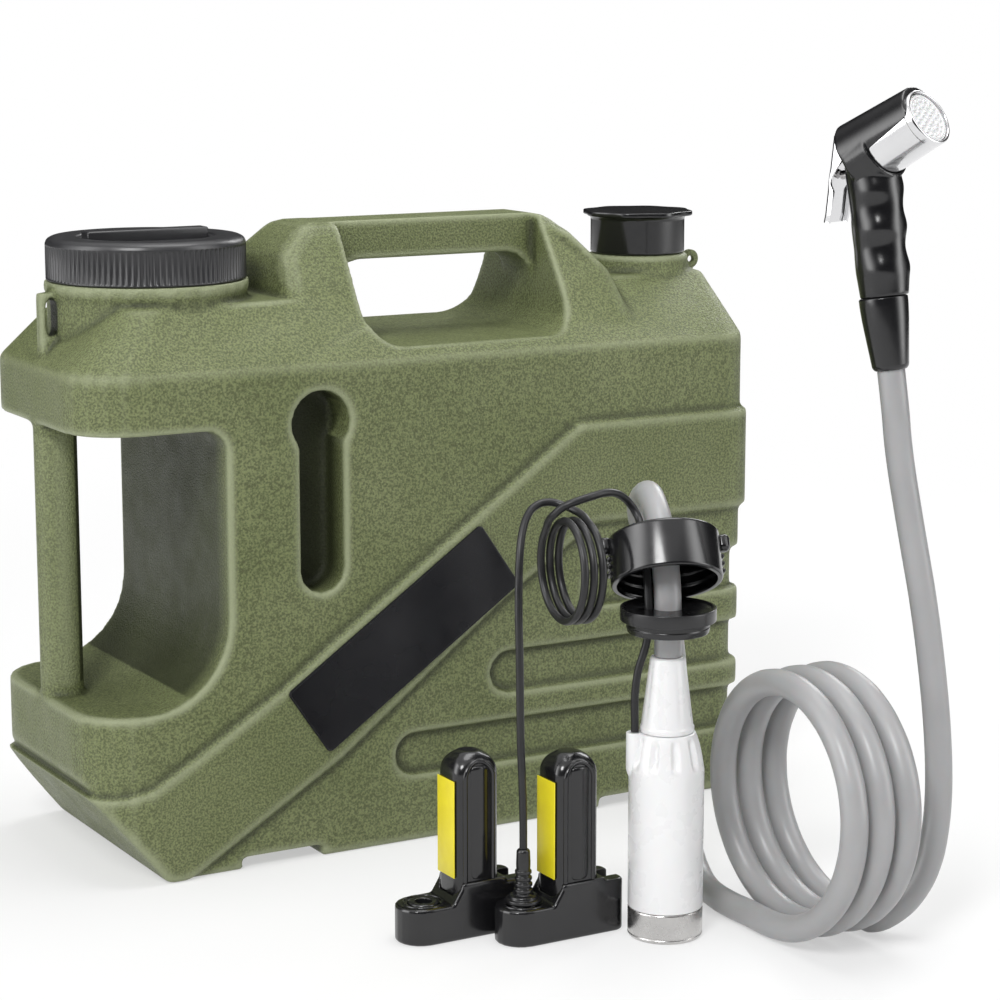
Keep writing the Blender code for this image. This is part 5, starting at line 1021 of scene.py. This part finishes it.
def makeStopper():
    s = named(stopperSettings)
    low, step, top = s.low, s.step, s.top
    points = [
        (0, top - s.dish, 0),
        (s.radius - s.rim - 0.8, top - s.dish, 0.5),
        (s.radius - s.rim, top, 0.5),
        (s.radius, top, 0.5),
        (s.radius, step, 0.6),
        (s.lowRadius, step - 0.2, 0.4),
        (s.lowRadius - 0.3, step - 2.8, 0.3),
        (s.lowRadius, low + 3.2, 0.3),
        (s.lowRadius - 0.6, low, 0.9),
        (0, low, 0),
    ]
    who = ("satinBlack", "kit", "stopper")
    return cutWays(lathe("spoutStopper", points, 112, pumpStand, *who, angle=60))


makeCollar()
makeGrommet()
makeStopper()
print("caps, collar and seals made")


pumpSettings = {
    "radius": 20, "wall": 2.4, "low": 16.3, "shoulder": 91, "shoulderTop": 111.5,
    "shoulderRadius": 15.5, "flutes": 10, "fluteDepth": 2.5, "bossRadius": 4.6,
    "bossOut": 17.2, "bossLow": 86, "noseLow": 14.5, "noseTop": 9.3, "noseFacets": 8,
    "noseEnd": 152,
}


def makePumpHousing():
    s = named(pumpSettings)
    low, shoulder, top, radius = s.low, s.shoulder, s.shoulderTop, s.radius
    inner = radius - s.wall
    points = [(4.5, top, 0.2), (s.shoulderRadius - 0.4, top, 0.6), (s.shoulderRadius, top - 1.2, 0.6)]
    for step in range(1, 11):
        share = step / 11
        bulge = 0.5 * sin(pi * share)
        out = s.shoulderRadius + 0.2 + (radius - s.shoulderRadius - 0.2) * share + bulge
        points.append((min(out, radius), top - 1.2 - (top - 1.2 - shoulder) * share, 0))
    points += [(radius, shoulder, 1), (radius, low + 0.3, 0.3), (radius - 0.3, low, 0)]
    points += [(inner, low, 0.2), (inner, shoulder + 3, 1), (4.5, shoulder + 4, 0.2)]

    def flutes(out, height, angle):
        if out < 15 or not shoulder < height < top - 0.8:
            return out, height
        share = easeBetween(shoulder + 1, shoulder + 7, height) * easeBetween(top - 1, top - 6, height)
        return out - s.fluteDepth * share * max(0.0, cos(s.flutes * angle)) ** 1.4, height

    work = bmesh.new()
    turn(work, softCorners(points, True), 240, None, flutes)
    boss = [(0, s.bossLow, 0), (2.5, s.bossLow, 2), (s.bossRadius, s.bossLow + 5, 2)]
    boss += [(s.bossRadius, top, 0.5), (2.4, top, 0.3), (2.2, top - 1.5, 0), (0, top - 1.5, 0)]
    turn(work, softCorners(boss), 40, Matrix.Translation(bendLeft * s.bossOut))
    return workPiece("pumpCan", work, pumpStand, 60, "pumpWhite", "kit", "pump_housing")


def makePumpNose():
    s = named(pumpSettings)
    low, top = s.shoulderTop + 0.3, s.noseEnd
    points = [(4.5, low, 0.2), (s.noseLow - 0.3, low, 0.3), (s.noseLow, low + 2.4, 0.8)]
    points += [(s.noseLow - 0.7, low + 3.4, 0.6), (s.noseTop, top - 1, 0.6), (s.noseTop - 1, top, 0.4)]
    points += [(4.5, top, 0.3)]

    def facets(out, height, angle):
        if out < 6:
            return out, height
        share = easeBetween(low + 3, low + 9, height) * easeBetween(top - 1, top - 5, height)
        return out - 0.3 * share * max(0.0, cos(s.noseFacets * angle)) ** 2, height

    fine = []
    points = [Vector(point) for point in softCorners(points, True)]
    for first, second in zip(points, points[1:]):
        steps = 12 if abs(second.y - first.y) > 20 else 1  # the long taper gets rows for its facets
        fine += [first.lerp(second, step / steps) for step in range(steps)]
    fine.append(points[-1])
    who = ("pumpWhite", "kit", "pump_nose")
    return lathe("pumpNose", fine, 160, pumpStand, *who, shape=facets, angle=60)


def makePumpFoot():
    radius = pumpSettings["radius"]
    points = [(16.3, 0, 0.3), (radius - 0.9, 0, 0.5), (radius, 1.1, 0.8), (radius, 1.9, 0.2)]
    points += [(radius - 0.25, 2.2, 0.2), (radius - 0.25, 2.7, 0.2), (radius, 3, 0.2)]
    points += [(radius, 15.4, 0.3), (radius - 0.4, 16, 0.3)]
    points += [(18.8, 16, 0.2), (18.8, 1.1, 0.2), (16.3, 1.1, 0.2)]
    who = ("brushedSteel", "kit", "pump_base_ring")
    return lathe("pumpFoot", points, 128, pumpStand, *who, closed=True, angle=60)


makePumpHousing()
makePumpNose()
makePumpFoot()
print("pump made")


packSettings = {
    "places": ((-114, -246.3), (-69, -274.2)), "length": 71, "width": 27.6, "towerX": 30,
    "towerLength": 26, "towerWidth": 24, "towerCorner": 6, "towerBase": 20.6,
    "towerTop": 100, "domeRise": 11.5, "domeAlong": 9.5, "domeAcross": 7.5, "domeSteps": 12,
    "beadRadius": 1.35, "beadInset": 4.6, "panelRadius": 5.4, "socketX": 15.5,
    "socketTop": 20.8, "footVoxel": 0.7, "footTurns": 5,
}


def makeTower(number, place):
    # rounded case with a soft dome; its front has a raised arch with a long swelling inside
    s = named(packSettings)
    left = place[0] + s.towerX
    near = place[1] + (s.width - s.towerWidth) / 2
    right, far = left + s.towerLength, near + s.towerWidth
    spring = s.towerTop - s.domeRise
    rows = [(0, 0, s.towerBase + rise) for rise in (0, 20, 40)]
    for step in range(s.domeSteps + 1):
        angle = radians(90) * step / s.domeSteps
        share = 1 - cos(angle)
        rows.append((s.domeAlong * share, s.domeAcross * share, spring + s.domeRise * sin(angle)))
    work = bmesh.new()
    rings = []
    for along, across, height in rows:
        corner = min(s.towerCorner + 0.35 * along, s.towerLength / 2 - along, s.towerWidth / 2 - across)
        plan = roundedPlan(left + along, right - along, near + across, far - across, corner - 0.01, 8)
        rings.append([Vector((x, y, height)) for x, y in plan])
    loft(work, rings)

    def faceAt(height):
        # how far the front has drawn back at this height
        lift = min(1.0, max(0.0, (height - spring) / s.domeRise))
        return near + s.domeAcross * (1 - sqrt(1 - lift * lift))

    middle = (left + right) / 2
    arch = s.towerLength / 2 - s.beadInset
    archZ = s.towerTop - 4.4 - arch
    path = [Vector((middle - arch, 0, height)) for height in range(31, int(archZ), 5)]
    for step in range(17):
        angle = pi * (1 - step / 16)
        path.append(Vector((middle + arch * cos(angle), 0, archZ + arch * sin(angle))))
    path += [Vector((middle + arch, 0, height)) for height in range(int(archZ) - 1, 30, -5)]
    for point in path:
        point.y = faceAt(point.z) + 0.45
    bead(work, path, s.beadRadius, Vector((0, -1, 0)), 12)
    swell = s.panelRadius
    profile = [(0, 32, 0), (swell, 32, swell), (swell, archZ + 1, 0), (swell, archZ + 1 + swell, swell)]
    profile += [(0, archZ + 1 + swell, 0)]
    flat = Matrix.Translation((middle, near + 0.5, 0)) @ Matrix.Diagonal((1, 0.36, 1, 1))
    turn(work, softCorners(profile, False, 8), 48, flat)
    who = ("glossBlack", "kit", f"pack_{number}_tower")
    return workPiece(f"packTower{number}", work, None, 60, *who)


def socketPlace(place):
    s = named(packSettings)
    return Matrix.Translation((place[0] + s.socketX, place[1] + s.width / 2, 0))


def makeFoot(number, place):
    # the CAD foot with its edges worn round, and a raised ring about the socket
    s = named(packSettings)
    node = f"pack_{number}_foot"
    foot = newPiece(f"packFoot{number}", nodes[node].data.copy(), "glossBlack", "kit", node)
    skin(foot, s.footVoxel)
    soften(foot, s.footTurns)
    settle(foot)
    foot.data.shade_smooth()
    top = s.socketTop
    points = [(9.9, top - 2.2, 0), (10.2, top - 0.2, 0.5), (11.3, top - 0.2, 0.5), (11.8, top - 2.2, 0)]
    name = f"socketRing{number}"
    return foot, lathe(name, points, 64, socketPlace(place), "glossBlack", "kit", closed=True)


def makeSocket(number, place):
    top = packSettings["socketTop"]
    points = [(0, top - 1.5, 0), (0.9, top - 1.6, 0.3), (1.1, top - 2.2, 0), (1.1, top - 8, 0)]
    points += [(4.6, top - 8, 0.3), (4.6, top - 0.4, 0.3), (5.2, top, 0.3), (7.5, top, 0.6)]
    points += [(8.2, top - 0.8, 0.4), (8.2, top - 10.4, 0), (0, top - 10.4, 0)]
    who = ("satinBlack", "kit", f"pack_{number}_socket")
    return lathe(f"packSocket{number}", points, 64, socketPlace(place), *who)


def makeLabel(number):
    # a film strip with round corners, left without words
    low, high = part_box(f"pack_{number}_label")
    work = bmesh.new()
    softBox(work, Vector(low) / mm, Vector(high) / mm, 0.22, 3)
    who = ("yellowFilm", "kit", f"pack_{number}_label")
    return workPiece(f"packLabel{number}", work, None, 60, *who)


for number, place in enumerate(packSettings["places"], 1):
    for piece in (makeTower(number, place), *makeFoot(number, place), makeSocket(number, place)):
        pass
    makeLabel(number)
print("battery packs made")


handsetSettings = {
    "foot": (115, -346, 303), "heading": 17, "lean": 9.3, "headPitch": 31,
    "headHeight": 109.3, "headRadius": 15.2, "headLength": 43, "hoodWall": 1.6,
    "hoodBack": 5, "hoodFront": 11.5, "roofBack": 5, "roofFront": 3, "roofShort": 2,
    "nutHeight": 38, "nutLow": 9, "nutTop": 12.6, "voxel": 0.6, "turns": 6, "steps": 64,
    # height, half depth, half width, and how far it stands forward
    "sections": (
        (38.0, 12.6, 12.2, 1.0),
        (46, 13.4, 12.7, 1.2),
        (52, 13.9, 13.0, 1.3),
        (58, 13.7, 13.0, 1.3),
        (63.5, 13.5, 12.9, 1.4),
        (73, 14.1, 13.2, 1.9),
        (82, 13.9, 13.0, 2.1),
        (93, 14.4, 13.2, 2.2),
        (105, 14.2, 13.3, 1.8),
        (116, 13.6, 13.4, 1.5),
        (121, 12.6, 12.4, 1.2),
        (124.5, 9.5, 9.5, 1.0),
    ),
    # swellings for the fingers, on both sides of the front: heights, angle, spread and depth
    "swellings": {
        "heights": (52, 73, 93),
        "length": 6.4,
        "angle": 52,
        "spread": 34,
        "proud": 1.5,
        "dent": 0.6,
    },
    "pivot": (-10.5, 117.5), "leverOut": 15.6, "leverLength": 41, "leverWidth": 17,
    "leverPlate": 1.6, "leverSetback": 3.4, "leverSteps": 60, "roofSteps": 12,
    "nozzleRings": ((0, 1), (3.4, 6), (6.6, 12), (9.8, 18)),
}


def handsetPlace():
    s = named(handsetSettings)
    heading, lean = radians(s.heading), radians(s.lean)
    level = Vector((sin(heading), -cos(heading), 0))
    above = up * cos(lean) - level * sin(lean)
    forward = level * cos(lean) + up * sin(lean)
    axes = Matrix((forward, above.cross(forward), above)).transposed().to_4x4()
    return Matrix.Translation(s.foot) @ axes


def headPlace():
    # from the barrel's own axis, standing at the grip's top, to the handset's axes
    pitch = radians(handsetSettings["headPitch"] - handsetSettings["lean"])
    ahead = Vector((cos(pitch), 0, sin(pitch)))
    turned = up.rotation_difference(ahead).to_matrix().to_4x4()
    return Matrix.Translation((0, 0, handsetSettings["headHeight"])) @ turned, ahead


def smoothSections(sections, fineness):
    # Catmull-Rom through the given sections
    rows = [Vector(section) for section in sections]
    rows = [rows[0] * 2 - rows[1], *rows, rows[-1] * 2 - rows[-2]]
    result = []
    for number in range(1, len(rows) - 2):
        a, b, c, d = rows[number - 1 : number + 3]
        for share in [step / fineness for step in range(fineness)]:
            cubic = (3 * b - a - 3 * c + d) * share**3
            square = (2 * a - 5 * b + 4 * c - d) * share * share
            result.append(0.5 * (2 * b + (c - a) * share + square + cubic))
    return [*result, rows[-2]]


def gripLift(height, angle):
    # how far the finger swellings stand out of the plain section
    swell = named(handsetSettings["swellings"])
    lifts = [exp(-(((height - middle) / swell.length) ** 2)) for middle in swell.heights]
    lift = sum(lifts) * swell.proud
    lift -= swell.dent * easeBetween(42, 52, height) * easeBetween(108, 93, height)
    turned = abs((degrees(angle) + 180) % 360 - 180)
    return lift * exp(-(((turned - swell.angle) / swell.spread) ** 2))


def makeGrip():
    s = named(handsetSettings)
    head, ahead = headPlace()
    work = bmesh.new()
    rows = []
    for height, deep, wide, shift in smoothSections(s.sections, 6):
        row = []
        for step, (x, y) in enumerate(circle(1, s.steps)):
            lift = gripLift(height, tau * step / s.steps)
            row.append((shift + (deep + lift) * x, (wide + lift) * y, height))
        rows.append(row)
    loft(work, rows)
    outer = s.headRadius + s.hoodWall
    hood = [(0, -s.hoodBack, 0), (outer, -s.hoodBack, 2)]
    hood += [(outer, s.hoodFront, 0.3), (0, s.hoodFront, 0)]
    turn(work, softCorners(hood), s.steps, head)
    # the roof over the barrel, a thin wedge that runs forward
    above = Vector((-ahead.z, 0, ahead.x))
    rings = []
    for share in [step / s.roofSteps for step in range(s.roofSteps + 1)]:
        along = -s.hoodBack + (s.headLength - s.roofShort + s.hoodBack) * share
        lift = above * (s.roofBack + (s.roofFront - s.roofBack) * share)
        radius = outer + (s.headRadius - outer) * share
        rings.append([head @ Vector((x, y, along)) + lift for x, y in circle(radius, s.steps)])
    loft(work, rings)
    grip = workPiece("gripBody", work, handsetPlace(), 48, "glossBlack", "kit", "handset_grip")
    skin(grip, s.voxel)
    soften(grip, s.turns)
    settle(grip)

    lugX, lugZ = s.pivot
    room = s.leverWidth / 2 + 1
    bore = s.headRadius + 0.25
    work = bmesh.new()
    softBox(work, (-60, -room, lugZ - 12), (lugX + 4.2, room, lugZ + 6), 0.8)
    turn(work, [(0, 2), (bore, 2), (bore, 62), (0, 62)], 96, head)
    carve(grip, closeWork(work, "recess", handsetPlace()))
    grip.data.shade_smooth()
    grip.data.set_sharp_from_angle(angle=radians(50))

    work = bmesh.new()
    lug = [(0, -5, 0), (3, -5, 0.4), (3, 5, 0.4), (0, 5, 0)]
    side = Matrix.Translation((lugX, 0, lugZ)) @ Matrix.Rotation(radians(90), 4, "X")
    turn(work, softCorners(lug), 32, side)
    softBox(work, (lugX, -5, lugZ - 2.6), (lugX + 5, 5, lugZ + 2.6), 0.4)
    return grip, workPiece("gripLug", work, handsetPlace(), 48, "glossBlack", "kit")


def makeHandsetNut():
    s = named(handsetSettings)
    tall, low, top = s.nutHeight, s.nutLow, s.nutTop
    points = [(5, 0.3, 0.3), (low - 1, 0, 0.6), (low + 0.5, 1.6, 1.2), (top - 0.5, tall - 12, 4)]
    points += [(top, tall - 4, 2), (top, tall - 0.7, 0.4), (top - 0.9, tall - 0.1, 0.3)]
    points += [(top - 2.4, tall, 0.2), (top - 2.6, tall + 2, 0.2), (5, tall + 2, 0.2)]
    return lathe("gripNut", points, 96, handsetPlace(), "glossBlack", "kit", "hose_nut", closed=True)


def makeBarrel():
    s = named(handsetSettings)
    head = headPlace()[0]
    radius, length = s.headRadius, s.headLength
    points = [(5, 2.3, 0.2), (radius - 0.2, 2.3, 0.2), (radius - 0.2, length - 4.4, 0.4)]
    points += [(radius, length - 4, 0.4), (radius, length - 0.7, 0.5), (radius - 0.7, length, 0.5)]
    points += [(radius - 1.6, length - 0.1, 0.3), (radius - 1.7, length - 1.4, 0.2)]
    points += [(radius - 1.8, 5.3, 0.2), (5, 5.3, 0.2)]
    place = handsetPlace() @ head
    who = ("polishedChrome", "kit", "handset_barrel")
    barrel = lathe("sprayBarrel", points, 128, place, *who, closed=True)
    face = length - 0.9
    snug = radius - 2.0
    points = [(0, face - 0.5, 0), (10.9, face - 0.5, 0.3), (11.3, face, 0.4), (12.2, face, 0.4)]
    points += [(12.5, face - 0.4, 0.2), (snug, face - 0.3, 0.2), (snug, face - 2, 0.2)]
    points += [(0, face - 2, 0)]
    work = bmesh.new()
    turn(work, softCorners(points), 96)
    nozzle = [(0, face - 0.6, 0), (0.95, face - 0.6, 0.2), (0.65, face + 0.35, 0.2)]
    nozzle += [(0.35, face + 0.3, 0.1), (0.3, face - 0.3, 0), (0, face - 0.3, 0)]
    for out, count in s.nozzleRings:
        for x, y in circle(out, count):
            turn(work, softCorners(nozzle, False, 2), 12, Matrix.Translation((x, y, 0)))
    plate = workPiece("sprayFace", work, place, 48, "pumpWhite", "kit", "spray_face")
    return barrel, plate


def makeLever():
    # a pressed channel: deep cheeks at the pin, a notch, then shallow cheeks to a rolled end
    s = named(handsetSettings)
    lugX, lugZ = s.pivot
    half, plate, face, length = s.leverWidth / 2, s.leverPlate, -s.leverSetback, s.leverLength
    out, inner = face - plate, half - plate
    rows = []
    for step in range(s.leverSteps + 1):
        height = 4 - (length + 4) * step / s.leverSteps
        deep = 6.4 * easeBetween(-19, -4, height) + 2.4 * easeBetween(-20, -25, height)
        tip = face + max(deep, 0.05)
        roll = 0.9 * easeBetween(-length + 5, -length, height)
        path = softCorners([(tip, -half), (out, -half, 1.8), (out, half, 1.8), (tip, half)])
        path += softCorners([(tip, inner), (face, inner, 0.8), (face, -inner, 0.8), (tip, -inner)])
        rows.append([(x - roll * 0.6, y * (1 - 0.03 * roll), height) for x, y in path])
    work = bmesh.new()
    loft(work, rows)
    swung = Matrix.Translation((lugX, 0, lugZ)) @ Matrix.Rotation(radians(s.leverOut), 4, "Y")
    who = ("polishedChrome", "lever", "trigger_lever")
    return workPiece("triggerLever", work, handsetPlace() @ swung, 50, *who)


for piece in (*makeGrip(), makeHandsetNut()):
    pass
barrel, plate = makeBarrel()
makeLever()
print("handset made")

dress(["lid_gasket", "spout_gasket", "pump_seal"], "blackRubber")
dress(["pump_diffuser", "pump_impeller", "valve_cartridge"], "pumpWhite")
dress(["pump_screen", "pump_shaft", "pump_motor", "lever_pin", "valve_plunger"], "brushedSteel")
for number in (1, 2):
    dress([f"pack_{number}_cell"], "cellWrap")
    dress([f"pack_{number}_board"], "circuitGreen")
print("inside pieces dressed")
